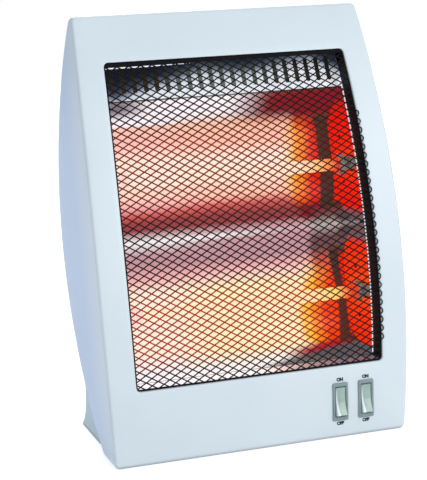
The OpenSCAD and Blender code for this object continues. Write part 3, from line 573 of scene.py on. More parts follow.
def makeGuard():
    slope, step = guard["cellWidth"] / guard["cellHeight"], guard["cellWidth"]
    inset = guard["gap"] + guard["hem"] * guard["hemShare"]
    low, high = windowS1 + inset, windowS2 - inset
    reach = ceil((windowX + slope * high) / step)
    mesh = Stock()
    for way in (1, -1):
        for i in range(-reach, reach + 1):
            c = (i + 0.5) * step
            s1, s2 = low, high
            for _ in range(guard["endTries"]):          # the strand ends on the bowed hem
                s1 = max(low, min(high, (-way * guardHalf(s1) - c) / (way * slope)))
                s2 = max(low, min(high, (way * guardHalf(s2) - c) / (way * slope)))
            if s2 - s1 > guard["cellHeight"] / 2:
                path = strandPath(c, way, s1, s2)
                mesh.sweep(path, guard["strand"] / 2, flat=guard["flat"], up=guard["strandUp"])
    dress(addMesh("guardMesh", mesh.verts, mesh.faces), guardPaint(), ["guard"])


# the rim round the window, its flat bar along the top and the small wire loops down its side
def makeGuardRim():
    rim = Stock()
    o, hem, wall, soft = -guard["gap"], guard["hem"], guard["rimWall"], guard["soft"]
    near, far, back = guard["rimNear"], guard["rimFar"], guard["rimBack"]
    profile = [(o - hem, far), (o - hem, near + soft), (o - hem + soft, near), (o - soft, near),
               (o, near + soft), (o, back - soft), (o - wall / 2, back), (o - wall, back - soft),
               (o - wall, far)]
    rim.add(*loft([windowRing(*point) for point in profile], loop=True))
    top, n = windowS2 - guard["gap"] - guard["topGap"], guard["barSteps"]
    low = top - guard["topBar"]
    section = [(top, near), (top, far), (low, far), (low - soft, (near + far) / 2), (low, near)]
    rim.add(*acrossFace(section, [guardHalf(top) * mix(-1, 1, k / n) for k in range(n + 1)]))
    look = wireLoops
    turns = [radians(look["start"] + look["turn"] * i) for i in range(look["steps"])]
    for k in range(int((look["to"] - look["from"]) / look["pitch"])):
        s = look["from"] + k * look["pitch"]
        x = guardHalf(s) + guard["hem"] / 2
        path = []
        for a in turns:
            out, up = look["radius"] * (cos(a) - look["inward"]), look["radius"] * look["tall"] * sin(a)
            path.append(atFace(x + out, s + up, look["depth"] - look["forward"] * cos(a)))
        rim.sweep(path, look["wire"])
    paint = makeFinish("rimEnamel", enamel)[0]
    dress(addMesh("guardRim", rim.verts, rim.faces), paint, ["guard_rim"])


# the cut edge of the sheet beside the guard's rim, and a shorter one under its top bar,
# both bright with a painted glint
cutEdgeGlint = {
    "width": 0.0007, "near": 0.0154, "far": 0.0161, "to": 0.262, "steps": 60, "clear": 0.0001,
    "below": 0.0006, "topFrom": -0.0995, "topTo": -0.03, "topHigh": 0.0009, "topNear": 0.0032,
    "topFar": 0.0037, "topSteps": 24,
    "dark": (0.5, 0.51, 0.53, 1), "light": (0.62, 0.63, 0.65, 1), "mottle": 60, "grain": 500,
    "rough": (0.2, 0.35), "bump": 0.08, "metal": 1, "shine": tone(226, 228, 236), "glow": 0.9,
}


def makeCutEdgeGlint():
    near, far, width, clear = (cutEdgeGlint[name] for name in ("near", "far", "width", "clear"))
    rings = []
    for k in range(cutEdgeGlint["steps"] + 1):
        s = mix(windowS1, cutEdgeGlint["to"], k / cutEdgeGlint["steps"])
        x = windowX * (1 - bow(atFace(0, s, guard["rimBack"]).z) / halfWidth)
        x -= guard["gap"] + guard["rimWall"] + clear
        line = [(x, near), (x, far), (x - width, far), (x - width, near + clear), (x - width / 2, near)]
        rings.append([atFace(across, s, d) for across, d in line])
    edges = Stock()
    edges.add(*loft(rings, caps=True))
    top, half = windowS2 - guard["gap"] - guard["topBar"] - cutEdgeGlint["below"], cutEdgeGlint["topSteps"] / 2
    near, far = cutEdgeGlint["topNear"], cutEdgeGlint["topFar"]
    rings = []
    for k in range(cutEdgeGlint["topSteps"] + 1):            # thins out over its right half
        x = mix(cutEdgeGlint["topFrom"], cutEdgeGlint["topTo"], k / cutEdgeGlint["topSteps"])
        low = top - mix(cutEdgeGlint["topHigh"], clear, max(0, k - half) / half)
        rings.append([atFace(x, s, d) for s, d in ((top, near), (top, far), (low, far), (low, near))])
    edges.add(*loft(rings, caps=True))
    material, shader = makeFinish("cutEdgeGlint", cutEdgeGlint)[:2]
    # painted glint: the edges glow pale
    addGlow(shader, cutEdgeGlint["shine"], cutEdgeGlint["glow"])
    dress(addMesh("sheetCutEdgeGlint", edges.verts, edges.faces), material)


makeGuard()
makeGuardRim()
makeCutEdgeGlint()
print("guard made")

trough = {
    "lipGap": 0.002, "stripHeight": 0.027, "ridgeLow": 0.002, "lip": 0.022, "ridge": 0.029, "deep": 0.05,
    "sheet": 0.0008, "rows": 40, "columns": 26, "roundness": 5, "lipBehind": 0.0006, "lipForward": 0.002,
}
troughS0, troughS2 = windowS1 + trough["lipGap"], windowS2 - trough["stripHeight"]
troughS1 = (troughS0 + troughS2) / 2 - trough["ridgeLow"]
bracketX = windowX + 0.0002

# painted reflection of the tubes' glow: the tones painted on the sheet, and where they lie up the
# two troughs, from the bottom lip (0) over the ridge (0.5) to the top lip (1): left end, middle,
# the start of the hot end, the far right
paintedReflectionTone = {
    "pale": (255, 245, 250), "cream": (255, 242, 220), "butter": (255, 243, 190), "peach": (255, 214, 194),
    "blush": (255, 234, 214), "apricot": (255, 196, 168), "salmon": (255, 200, 184), "rose": (245, 180, 178),
    "mauve": (200, 150, 158), "crest": (225, 212, 216), "wine": (152, 64, 66), "coral": (215, 98, 90),
    "orange": (252, 142, 25), "flame": (252, 96, 5), "ember": (250, 65, 4), "scarlet": (238, 36, 4),
    "rust": (215, 85, 60), "garnet": (136, 28, 38), "plum": (115, 78, 80), "ash": (158, 148, 142),
}
glow = {
    "left": [("pale", 0), ("cream", 0.07, 0.31), ("rose", 0.36), ("mauve", 0.42, 0.46),
             ("crest", 0.49, 0.51), ("wine", 0.545, 0.575), ("coral", 0.605), ("rose", 0.64),
             ("peach", 0.67), ("blush", 0.72, 0.81), ("salmon", 0.87, 0.935), ("pale", 0.945, 1)],
    "middle": [("pale", 0), ("butter", 0.05, 0.3), ("peach", 0.34), ("rose", 0.37),
               ("mauve", 0.41, 0.52), ("wine", 0.545, 0.58), ("coral", 0.62), ("apricot", 0.655),
               ("blush", 0.73, 0.79), ("apricot", 0.86, 0.93), ("pale", 0.97, 1)],
    "warmReflection": [("plum", 0), ("flame", 0.035), ("orange", 0.06, 0.3), ("rust", 0.36), ("plum", 0.42, 0.46),
             ("ash", 0.495, 0.515), ("garnet", 0.54, 0.58), ("flame", 0.61), ("orange", 0.66, 0.86),
             ("flame", 0.9), ("garnet", 0.945, 1)],
    "hotReflection": [("plum", 0), ("ember", 0.045, 0.32), ("rust", 0.36), ("plum", 0.42, 0.46),
            ("ash", 0.495, 0.515), ("plum", 0.54), ("garnet", 0.58), ("scarlet", 0.61, 0.88),
            ("garnet", 0.95), ("plum", 1)],
}


def troughDepth(s, s1, s2, d1, d2):
    u = (2 * s - s1 - s2) / (s2 - s1)
    return trough["deep"] - (trough["deep"] - (d1 if u < 0 else d2)) * abs(u) ** trough["roundness"]


# the reflector's line as (place up the face, depth, share of the way from lip to lip)
def reflectorLine():
    n, lip, ridge = trough["rows"], trough["lip"], trough["ridge"]
    line = [(troughS0, housing["windowDepth"] + trough["lipBehind"], 0)]
    for i in range(n + 1):
        s = mix(troughS0, troughS1, i / n)
        line.append((s, troughDepth(s, troughS0, troughS1, lip, ridge), 0.5 * i / n))
    for i in range(1, n + 1):
        s = mix(troughS1, troughS2, i / n)
        line.append((s, troughDepth(s, troughS1, troughS2, ridge, lip), 0.5 + 0.5 * i / n))
    line.append((troughS2, lip - trough["lipForward"], 1))
    return line


# what ends in Up goes by the way up the sheet, from 0 to 1, and what ends in Across by the place along X
# the sheet is a dark mirror, and its look is painted reflection, painted shade and painted highlight
mirrorSheet = {
    "dark": (0.012, 0.011, 0.01, 1), "light": (0.02, 0.019, 0.018, 1), "mottle": 30, "grain": 220,
    "stretch": (0.05, 1, 1), "rough": (0.2, 0.32), "bump": 0.1, "metal": 1, "glow": 0.99,
    "middleAcross": (-0.07, -0.005),
    "hotFrom": [(0, 0.064), (0.06, 0.062), (0.17, 0.06), (0.33, 0.069), (0.45, 0.066), (0.62, 0.058),
                (0.68, 0.059), (0.86, 0.065), (1, 0.064)],
    "warmPast": (-0.0065, 0.003), "hotPast": (0.0045, 0.0165),     # both counted from hotFrom
    "yellow": tone(255, 200, 50), "yellowNear": 0.02,
    "yellowPast": [(0.22, 0), (0.4, 1), (0.5, 1), (0.62, 0)],
    "yellowUp": [(0.03, 0), (0.06, 0.9), (0.28, 0.9), (0.34, 0.3), (0.4, 0), (0.6, 0), (0.66, 0.4),
                 (0.88, 0.4), (0.93, 0)],
    "ridgeEndShade": tone(84, 70, 72), "ridgeUp": [(0.44, 0), (0.47, 1), (0.535, 1), (0.555, 0)],
    "ridgeAcross": (0.084, 0.091),
    "crest": tone(248, 242, 244), "crestUp": [(0.49, 0), (0.498, 1), (0.506, 1), (0.514, 0)],
    "crestAcross": (-0.03, 0.05), "crestShare": (0.85, 0.2),
    "leftShade": tone(120, 112, 124), "leftUp": (0.955, 0.99), "leftAcross": (-0.055, -0.088),
    "maroonUp": (0.9, 0.962), "maroonAcross": (0, 0.044),
    "lowSlope": 0.45, "lowStart": -0.0085, "lowCornerShade": tone(86, 88, 92), "lowSoft": (-0.01, 0.006),
    "lowFringe": tone(176, 30, 40), "fringeSoft": (-0.034, -0.008), "fringeAcross": (0.025, 0.055),
    "darkGapShade": tone(74, 50, 40), "bandSoft": (-0.0008, 0.0012),
    "bandFrom": [(0, 0.078), (0.06, 0.085), (0.12, 0.088), (0.22, 0.0876), (0.36, 0.083), (0.5, 0.08),
                 (0.55, 0.0765), (0.62, 0.0805), (0.72, 0.0835), (0.88, 0.0845), (0.95, 0.0805), (1, 0.079)],
    "bandUp": [(0.03, 0), (0.045, 1), (0.4, 1), (0.43, 0), (0.56, 0), (0.575, 1), (0.925, 1), (0.95, 0)],
    "plateRedGlow": tone(244, 34, 6), "plateSoft": (-0.0006, 0.0006),
    "bandTo": [(0, 0.093), (0.1, 0.096), (0.2, 0.0952), (0.33, 0.0915), (0.5, 0.09), (0.55, 0.0885),
               (0.62, 0.0932), (0.72, 0.096), (1, 0.096)],
    "plateUp": [(0.05, 0), (0.07, 1), (0.37, 1), (0.4, 0), (0.585, 0), (0.6, 1), (0.9, 1), (0.925, 0)],
    "streak": 90, "streakStretch": (0.04, 1, 1), "streakShade": (0.95, 0.95, 0.95, 1),
}


def mirrorPaint():
    look = mirrorSheet
    material, shader, place = makeFinish("mirrorSheet", look)
    tree = material.node_tree
    up = axis(addNode(tree, "ShaderNodeUVMap", uv_map="sheet").outputs["UV"], "Y")
    x = axis(place, "X")
    past = addMath("SUBTRACT", x, followLine(up, look["hotFrom"]))
    # painted reflection: the sheet's colour is all emission, in bands by the way up and along X
    left, middle, warmReflection, hotReflection = (
        addRamp(up, [(at, tone(*paintedReflectionTone[name])) for name, *places in bands for at in places])
        for bands in glow.values())
    colour = mixColour(smoothStep(x, *look["middleAcross"]), left, middle)
    colour = mixColour(smoothStep(past, *look["warmPast"]), colour, warmReflection)
    # painted reflection: a yellow band along the edge of the warm part
    yellow = followLine(remap(past, -look["yellowNear"], look["yellowNear"]), look["yellowPast"])
    colour = layOver(colour, look["yellow"], yellow, followLine(up, look["yellowUp"]))
    colour = mixColour(smoothStep(past, *look["hotPast"]), colour, hotReflection)
    # painted shade at the ridge's right end
    end = smoothStep(x, *look["ridgeAcross"])
    colour = layOver(colour, look["ridgeEndShade"], followLine(up, look["ridgeUp"]), end)
    # painted highlight along the ridge's crest, fading towards the right
    crest = remap(smoothStep(x, *look["crestAcross"]), 0, 1, *look["crestShare"])
    colour = layOver(colour, look["crest"], followLine(up, look["crestUp"]), crest)
    # painted shadow under the strip at the left end, and painted red reflection on the top lip towards the
    # right
    for cover, name in ((look["leftShade"], "left"), (warmReflection, "maroon")):
        shares = smoothStep(up, *look[name + "Up"]), smoothStep(x, *look[name + "Across"])
        colour = layOver(colour, cover, *shares)
    # painted red reflection in a fringe, and painted shade in the lower right corner below a slanted line
    below = addMath("SUBTRACT", addMath("MULTIPLY_ADD", x, look["lowSlope"], look["lowStart"]), up)
    fringe = smoothStep(x, *look["fringeAcross"])
    colour = layOver(colour, look["lowFringe"], smoothStep(below, *look["fringeSoft"]), fringe)
    colour = mixColour(smoothStep(below, *look["lowSoft"]), colour, look["lowCornerShade"])
    # painted shade where the dark gap before the end plates lies, and painted red glow of the plates beyond
    # it
    for cover, line, name in (("darkGapShade", "bandFrom", "band"), ("plateRedGlow", "bandTo", "plate")):
        inside = addMath("SUBTRACT", x, followLine(up, look[line]))
        inside = smoothStep(inside, *look[name + "Soft"])
        colour = layOver(colour, look[cover], inside, followLine(up, look[name + "Up"]))
    stretch = addNode(tree, "ShaderNodeMapping", Vector=place, Scale=look["streakStretch"]).outputs["Vector"]
    shade = addRamp(addNoise(stretch, look["streak"], 3), [(0.3, look["streakShade"]), (0.7, (1, 1, 1, 1))])
    addGlow(shader, multiply(colour, shade), look["glow"])
    return material


# adds the sheet's thickness behind it
def thicken(piece):
    thick = piece.modifiers.new("sheet", "SOLIDIFY")
    thick.thickness, thick.offset = trough["sheet"], 1
    applyModifiers(piece)


def makeReflector():
    line = reflectorLine()
    n = trough["columns"]
    columns = [mix(-bracketX, bracketX, i / n) for i in range(n + 1)]
    mesh = bpy.data.meshes.new("reflectorSheet")
    bm = bmesh.new()
    sheet = bm.loops.layers.uv.new("sheet")
    grid = [[bm.verts.new(atFace(x, s, d)) for x in columns] for s, d, _ in line]
    for i in range(len(line) - 1):
        for j in range(n):
            corners = ((i, j), (i, j + 1), (i + 1, j + 1), (i + 1, j))
            face = bm.faces.new([grid[row][col] for row, col in corners])
            for corner, (row, col) in zip(face.loops, corners):
                corner[sheet].uv = (columns[col] / bracketX / 2 + 0.5, line[row][2])
    bm.to_mesh(mesh)
    bm.free()
    piece = addObject("reflectorSheet", mesh)
    thicken(piece)
    dress(piece, mirrorPaint(), ["reflector"])


makeReflector()

# the ledge in front of the bottom lip, over the guard's rim, with a painted highlight that darkens to the
# right
ledge = {
    "half": 0.1028, "above": 0.00135, "front": 0.0034, "back": 0.018, "thick": 0.0004, "steps": 40,
    "dark": (0.1, 0.1, 0.1, 1), "light": (0.14, 0.14, 0.14, 1), "mottle": 40, "grain": 300,
    "stretch": (0.05, 1, 1), "rough": (0.2, 0.3), "bump": 0.08, "metal": 1, "glow": 0.94,
    "shine": tones((0, 250, 240, 246), (0.46, 254, 246, 250), (0.56, 250, 222, 228), (0.64, 208, 164, 170),
                   (0.71, 146, 134, 142), (0.85, 112, 112, 122), (1, 84, 80, 88)),
}


def makeLedge():
    half, front, back, thick = (ledge[name] for name in ("half", "front", "back", "thick"))
    low = windowS1 + ledge["above"]
    top = low + thick
    section = [(low, front), (low, back), (top, back), (top, front + thick), (low + thick / 2, front)]
    xs = [mix(-half, half, k / ledge["steps"]) for k in range(ledge["steps"] + 1)]
    material, shader, place = makeFinish("ledgeSheet", ledge)
    # painted highlight along the ledge, pale at the left and dark at the right
    addGlow(shader, addRamp(remap(axis(place, "X"), -half, half), ledge["shine"]), ledge["glow"])
    dress(addMesh("lowerLedge", *acrossFace(section, xs)), material)


makeLedge()

slots = {
    "width": 0.004, "height": 0.021, "pitch": 0.0092, "depth": 0.019, "above": 0.007, "steps": 6,
    "margin": 0.012, "clear": 0.0003, "over": 0.006, "endRows": 5, "weld": 0.00001,
}
polishedStrip = {
    "dark": (0.42, 0.43, 0.46, 1), "light": (0.52, 0.53, 0.56, 1), "mottle": 40, "grain": 300,
    "stretch": (0.06, 1, 1), "rough": (0.1, 0.2), "bump": 0.06, "metal": 1, "glow": 0.66,
    "edgeLine": [(0.08, 0.2785), (0.16, 0.284), (0.34, 0.2922), (0.42, 0.2975), (0.6, 0.2932), (0.8, 0.3003),
                 (0.87, 0.301), (0.99, 0.2894)],        # height of the shade's edge, by the way across
    "across": 0.105, "fade": 0.011,
    # painted reflection: light below the edge line, dark navy above it
    "shine": tones((0, 248, 250, 254), (0.2, 240, 245, 252), (0.36, 214, 223, 233), (0.5, 140, 150, 166),
                   (0.62, 84, 92, 106), (0.76, 52, 60, 76), (1, 30, 36, 56)),
}


# painted reflection: light below a traced edge line and dark navy above it, in base colour and glow
def stripPaint():
    look = polishedStrip
    material, shader, place = makeFinish("polishedStrip", look)
    edge = followLine(remap(axis(place, "X"), -look["across"], look["across"]), look["edgeLine"])
    above = addMath("SUBTRACT", axis(place, "Z"), edge)
    shine = addRamp(remap(above, -look["fade"], look["fade"]), look["shine"])
    feed(shader.inputs["Base Color"], multiply(baseColour(shader), shine))
    addGlow(shader, shine, look["glow"])
    return material


# each slot's round end is joined to the points of its cell's edge that answer to it
def makeVentStrip():
    pitch, r, depth = slots["pitch"], slots["width"] / 2, slots["depth"]
    middle, straight = troughS2 + slots["above"] + slots["height"] / 2, slots["height"] / 2 - r
    bottom, top = troughS2 + trough["sheet"] + slots["clear"], windowS2 + slots["over"]
    count = 2 * int((windowX - slots["margin"]) / pitch) + 1
    steps, rows, tiny = 2 * slots["steps"], slots["endRows"], 1e-6
    verts, faces = [], []
    for i in range(count):
        cx = (i - (count - 1) / 2) * pitch
        ring, cell = [], []
        for way, end in ((1, top), (-1, bottom)):
            s = middle + way * straight
            reach = abs(end - s)
            corner = asin(reach / sqrt(reach ** 2 + (pitch / 2) ** 2))
            for a in sorted({pi * k / steps for k in range(steps + 1)} | {corner, pi - corner}):
                grow = min(pitch / 2 / max(abs(cos(a)), tiny), reach / max(abs(sin(a)), tiny))
                ring.append((cx + way * r * cos(a), s + way * r * sin(a)))
                cell.append((cx + way * grow * cos(a), s + way * grow * sin(a)))
        start, n = len(verts), len(ring)
        verts += [atFace(x, s, depth) for x, s in ring + cell]
        faces += [(start + k, start + (k + 1) % n, start + n + (k + 1) % n, start + n + k) for k in range(n)]
    for side in (-1, 1):
        start = len(verts)
        levels = [mix(bottom, top, k / rows) for k in range(rows + 1)]
        verts += [atFace(x, s, depth) for s in levels for x in (side * count * pitch / 2, side * bracketX)]
        for k in range(rows):
            at = start + 2 * k
            faces.append((at, at + 1, at + 3, at + 2))
    piece = addMesh("ventStrip", verts, faces)
    weld = piece.modifiers.new("weld", "WELD")
    weld.merge_threshold = slots["weld"]
    thicken(piece)
    dress(piece, stripPaint(), ["vent_strip"])


makeVentStrip()

slotShade = {
    "depth": 0.027, "thick": 0.0006, "half": 0.104, "from": 0.003, "to": 0.006, "rows": 8,
    "dark": tone(22, 20, 14), "light": tone(34, 31, 24), "mottle": 90, "grain": 700,
    "rough": (0.55, 0.75), "bump": 0.2, "bumpDepth": 0.027, "gloss": 0.1, "glow": 0.7,
    "across": tones((0, 66, 54, 36), (0.27, 70, 58, 38), (0.33, 112, 120, 112), (0.62, 128, 136, 130),
                    (0.74, 78, 82, 74), (0.85, 44, 44, 38), (1, 40, 40, 34)),
    "upward": tones((0, 255, 255, 255), (0.4, 230, 230, 230), (0.75, 150, 150, 150), (1, 110, 110, 110)),
    "upwardFrom": 0.278, "upwardTo": 0.304,
}


# a dull sheet behind the slots, standing in for the shade seen through them; it glows with
# a painted reflection across it and painted light that darkens upwards
def makeSlotShade():
    half, rows, depth = slotShade["half"], slotShade["rows"], slotShade["depth"]
    xs = (-half, -half / 2, 0, half / 2, half)
    low, high = troughS2 + slotShade["from"], windowS2 + slotShade["to"]
    levels = [mix(low, high, k / rows) for k in range(rows + 1)]
    rings = [[atFace(x, s, depth) for x in xs] for s in levels]
    rings += [[atFace(x, s, depth + slotShade["thick"]) for x in xs] for s in reversed(levels)]
    verts, faces = loft(rings, closed=False, loop=True)
    n, m = len(rings), len(xs)
    faces += [tuple(m * k for k in range(n)), tuple(m * k + m - 1 for k in reversed(range(n)))]
    material, shader, place = makeFinish("slotShade", slotShade)
    shine = addRamp(remap(axis(place, "X"), -half, half), slotShade["across"])
    rise = remap(axis(place, "Z"), slotShade["upwardFrom"], slotShade["upwardTo"])
    addGlow(shader, multiply(shine, addRamp(rise, slotShade["upward"])), slotShade["glow"])
    dress(addMesh("slotShade", verts, faces), material)


makeSlotShade()
print("reflector and slotted strip made")

tubes = {
    "outer": 0.01, "wall": 0.0009, "depth": 0.025, "lowDrop": 0.002, "highDrop": 0.007, "intoCap": 0.008,
    "capOuter": 0.017, "neck": 0.011, "pinHole": 0.0011, "clear": 0.0001, "lip": 0.0003,
    "sides": 40, "capSides": 48, "rows": 60, "innerRows": 30,
}
tubeCentre = {
    "upper": atFace(0, (troughS1 + troughS2) / 2 - tubes["highDrop"], tubes["depth"]),
    "lower": atFace(0, (troughS0 + troughS1) / 2 - tubes["lowDrop"], tubes["depth"]),
}
capOut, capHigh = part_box("upper_right_cap")
capFrom, neckTo = capOut.x, capHigh.x
tubeEnd = capFrom + tubes["intoCap"]
quartz = {
    "dark": (0.02, 0.018, 0.015, 1), "light": (0.032, 0.028, 0.024, 1), "mottle": 60, "grain": 700,
    "rough": (0.2, 0.34), "bump": 0.05, "gloss": 0.3, "glow": 0.97, "alpha": 0.92, "reach": 0.0885,
    "upper": tones((0, 255, 237, 217), (0.8, 254, 228, 197), (0.9, 253, 197, 124), (0.955, 252, 130, 50),
                   (1, 220, 35, 15)),
    "lower": tones((0, 255, 239, 204), (0.78, 255, 229, 170), (0.92, 254, 218, 112), (0.98, 250, 100, 30),
                   (1, 226, 50, 16)),
}


def makeTube(level):
    r, inner, lip = tubes["outer"] / 2, tubes["outer"] / 2 - tubes["wall"], tubes["lip"]
    reach, rows, innerRows = tubeEnd - 2 * tubes["clear"], tubes["rows"], tubes["innerRows"]
    profile = [(-reach, r - lip), (-reach + lip, r)]
    profile += [(mix(-reach, reach, k / rows), r) for k in range(1, rows)]
    profile += [(reach - lip, r), (reach, r - lip), (reach, inner)]
    profile += [(mix(reach, -reach, k / innerRows), inner) for k in range(1, innerRows + 1)]
    rings = turnedRings(tubeCentre[level], profile, tubes["sides"])
    material, shader, place = makeFinish(level + "Quartz", quartz)
    along = remap(axis(place, "X"), -quartz["reach"], quartz["reach"])
    addGlow(shader, addRamp(along, quartz[level]), quartz["glow"])
    feed(shader.inputs["Alpha"], quartz["alpha"])
    dress(addMesh(level + "QuartzTube", *loft(rings, loop=True)), material, [level + "_tube"])


capClay = {
    "dark": tone(128, 130, 116), "light": tone(212, 210, 196), "mottle": 260, "grain": 1300,
    "rough": (0.55, 0.8), "bump": 0.3, "gloss": 0.3, "stem": 0.0056, "soft": 0.0008,
    "disc": {"upper": (0.0003, 0.0056), "lower": (0.0046, 0.0086)},     # from and to, beyond the free tube
    "stemRedGlow": tone(236, 64, 18), "paleGlow": tone(255, 228, 214), "glow": 0.92,
    "litBase": (0.02, 0.012, 0.01, 1),
    "stemFade": 0.0004, "paleFade": 0.04, "grooveHalf": 0.0007, "grooveFlat": 0.0004, "grooveDeep": 0.0005,
}


# painted light: the clay's stem is painted with the tube's red glow, and at the left end
# everything is painted in the pale glow
def capPaint(level):
    material, shader, place = makeFinish(level + "Ceramic", capClay)
    x = axis(place, "X")
    fades = ((capFrom + capClay["disc"][level][0], capClay["stemFade"]), (0, capClay["paleFade"]))
    stem, pale = (addMath("MULTIPLY_ADD", smoothStep(x, at - fade, at + fade), -1, 1) for at, fade in fades)
    shine = addMath("MAXIMUM", stem, pale)
    colour = mixColour(pale, capClay["stemRedGlow"], capClay["paleGlow"])
    addGlow(shader, colour, addMath("MULTIPLY", shine, capClay["glow"]))
    feed(shader.inputs["Base Color"], mixColour(shine, baseColour(shader), capClay["litBase"]))
    return material


def makeCap(level, side):
    r, neck, bore, pin = tubes["capOuter"] / 2, tubes["neck"] / 2, tubes["outer"] / 2, tubes["pinHole"]
    stem, soft, clear = capClay["stem"], capClay["soft"], tubes["clear"]
    first, last = (capFrom + at for at in capClay["disc"][level])
    groove, wide, flat = mix(first, last, 0.5), capClay["grooveHalf"], capClay["grooveFlat"]
    deep = r - capClay["grooveDeep"]
    profile = [
        (tubeEnd, bore + clear), (capFrom + 3 * clear, bore + clear), (capFrom, bore + 3 * clear),
        (capFrom + clear, stem), (first - clear, stem), (first, stem + 4 * clear),
        (first, r - soft), (first + soft * 0.3, r - soft * 0.3), (first + soft, r),
        (groove - wide, r), (groove - flat, deep), (groove + flat, deep), (groove + wide, r),
        (last - soft, r), (last, r - soft), (last, neck + soft), (last + soft, neck),
        (neckTo - soft, neck), (neckTo, neck - soft), (neckTo, pin), (tubeEnd + clear, pin)]
    rings = turnedRings(tubeCentre[level], profile, tubes["capSides"], side)
    word = "right" if side > 0 else "left"
    piece = addMesh(level + word.title() + "Cap", *loft(rings, loop=True))
    dress(piece, capPaints[level], ["%s_%s_cap" % (level, word)])


glowLitPlate = {
    "dark": (0.014, 0.008, 0.006, 1), "light": (0.022, 0.012, 0.01, 1), "mottle": 60, "grain": 400,
    "rough": (0.3, 0.45), "bump": 0.1, "metal": 1, "glow": 1, "reach": 0.06,
    "depthShare": 0.55,
    "upper": tones((0, 255, 70, 12), (0.25, 250, 30, 4), (0.62, 240, 18, 2), (0.78, 216, 26, 10),
                   (0.9, 120, 34, 34), (1, 96, 66, 72)),
    "lower": tones((0, 255, 90, 18), (0.25, 250, 56, 6), (0.62, 246, 44, 4), (0.78, 232, 44, 10),
                   (0.9, 124, 44, 44), (1, 100, 90, 96)),
    "shade": tone(112, 84, 86), "fade": {"upper": (0.181, 0.173), "lower": (0.149, 0.157)},
}


# painted light: the end plates are painted with the red glow round the tubes, and with painted shade towards
# the ridge
def paintPlates(level):
    material, shader, place = makeFinish(level + "GlowLitPlate", glowLitPlate)
    away = awayFrom(place, tubeCentre[level].y, tubeCentre[level].z, glowLitPlate["depthShare"])
    colour = addRamp(remap(away, 0, glowLitPlate["reach"]), glowLitPlate[level])
    fade = smoothStep(axis(place, "Z"), *glowLitPlate["fade"][level])
    addGlow(shader, mixColour(fade, colour, glowLitPlate["shade"]), glowLitPlate["glow"])
    for side in ("left", "right"):
        paintOver(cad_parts["%s_%s_end_plate" % (level, side)], material)


capPaints = {level: capPaint(level) for level in tubeCentre}
for level in tubeCentre:
    makeTube(level)
    paintPlates(level)
for level in tubeCentre:
    for side in (-1, 1):
        makeCap(level, side)

rivets = {
    "places": [(0.2162, 0.0342), (0.1761, 0.0368), (0.1011, 0.0334), (0.0586, 0.0326)],  # up the face, depth
    "radius": 0.0013, "high": 0.0005, "sunk": 0.0002, "sides": 20,
    "plateX": 0.10397, "plateD": 0.0184, "lean": 0.2848, "proud": 0.00045,
    "dark": tone(60, 20, 16), "light": tone(92, 30, 22), "mottle": 500, "grain": 1500,
    "rough": (0.4, 0.6), "bump": 0.1, "metal": 1,
}


# flat rivet heads on the end plates
def makeRivets():
    r, high, lean = rivets["radius"], rivets["high"], rivets["lean"]
    profile = [(-rivets["sunk"], r), (high * 0.4, r), (high * 0.8, r * 0.85), (high, r * 0.55),
               (high * 1.02, r * 0.1)]
    heads = Stock()
    for side in (-1, 1):
        for s, d in rivets["places"]:
            x = rivets["plateX"] - (d - rivets["plateD"]) * lean - rivets["proud"]
            normal = Vector((-1, 0, 0)) * side + (atFace(0, s, 0) - atFace(0, s, 1)) * lean
            heads.turn(atFace(side * x, s, d), normal.normalized(), profile, rivets["sides"])
    dress(addMesh("plateRivets", heads.verts, heads.faces), makeFinish("rivets", rivets)[0])


makeRivets()
print("heating tubes made")

bezel = {
    "width": 0.013, "height": 0.0315, "proud": 0.0014, "corner": 0.0012, "well": 0.0085, "soft": 0.0004,
    "step": 0.0007, "under": 0.0001, "bodyCorner": 0.0008, "bodySlim": 0.0014, "bodyShort": 0.004,
    "bodyDeep": 0.016,
}
rocker = {
    "width": 0.008, "height": 0.024, "gap": 0.0004, "pivot": 0.001, "swing": 20, "back": 0.0035,
    "soft": 0.00035, "hollow": 0.0003,
}
switchPlastic = {
    "dark": tone(122, 140, 142), "light": tone(136, 152, 152), "mottle": 120, "grain": 1500,
    "rough": (0.4, 0.52), "bump": 0.1, "gloss": 0.45,
}
rockerPlastic = {
    "dark": tone(142, 168, 158), "light": tone(155, 180, 169), "mottle": 120, "grain": 1500,
    "rough": (0.26, 0.36), "bump": 0.06, "coat": 0.2,
    # painted highlight on the left flank
    "flankHighlight": tone(232, 242, 242), "flankLow": 0.31, "flankFade": 0.06,
}


# the rocker's left flank is painted paler, a painted highlight that widens towards its lower end
def rockerHighlightPaint():
    material, shader = makeFinish("rockerPlastic", rockerPlastic)[:2]
    spot = material.node_tree.nodes.new("ShaderNodeTexCoord").outputs["Generated"]
    edge = remap(axis(spot, "Z"), 0, 1, rockerPlastic["flankLow"], 0)
    fade = rockerPlastic["flankFade"]
    flankHighlight = smoothStep(addMath("SUBTRACT", edge, axis(spot, "X")), -fade, fade)
    feed(shader.inputs["Base Color"], mixColour(flankHighlight, baseColour(shader), rockerPlastic["flankHighlight"]))
    return material


def roundedRing(x0, w, h, r, y, steps=6):
    ring = []
    corners = ((w / 2 - r, r - h / 2), (w / 2 - r, h / 2 - r), (r - w / 2, h / 2 - r), (r - w / 2, r - h / 2))
    for quarter, (cx, cz) in enumerate(corners):
        turns = [pi / 2 * (quarter - 1 + k / steps) for k in range(steps + 1)]
        ring += [Vector((x0 + cx + r * cos(a), y, switchZ + cz + r * sin(a))) for a in turns]
    return ring


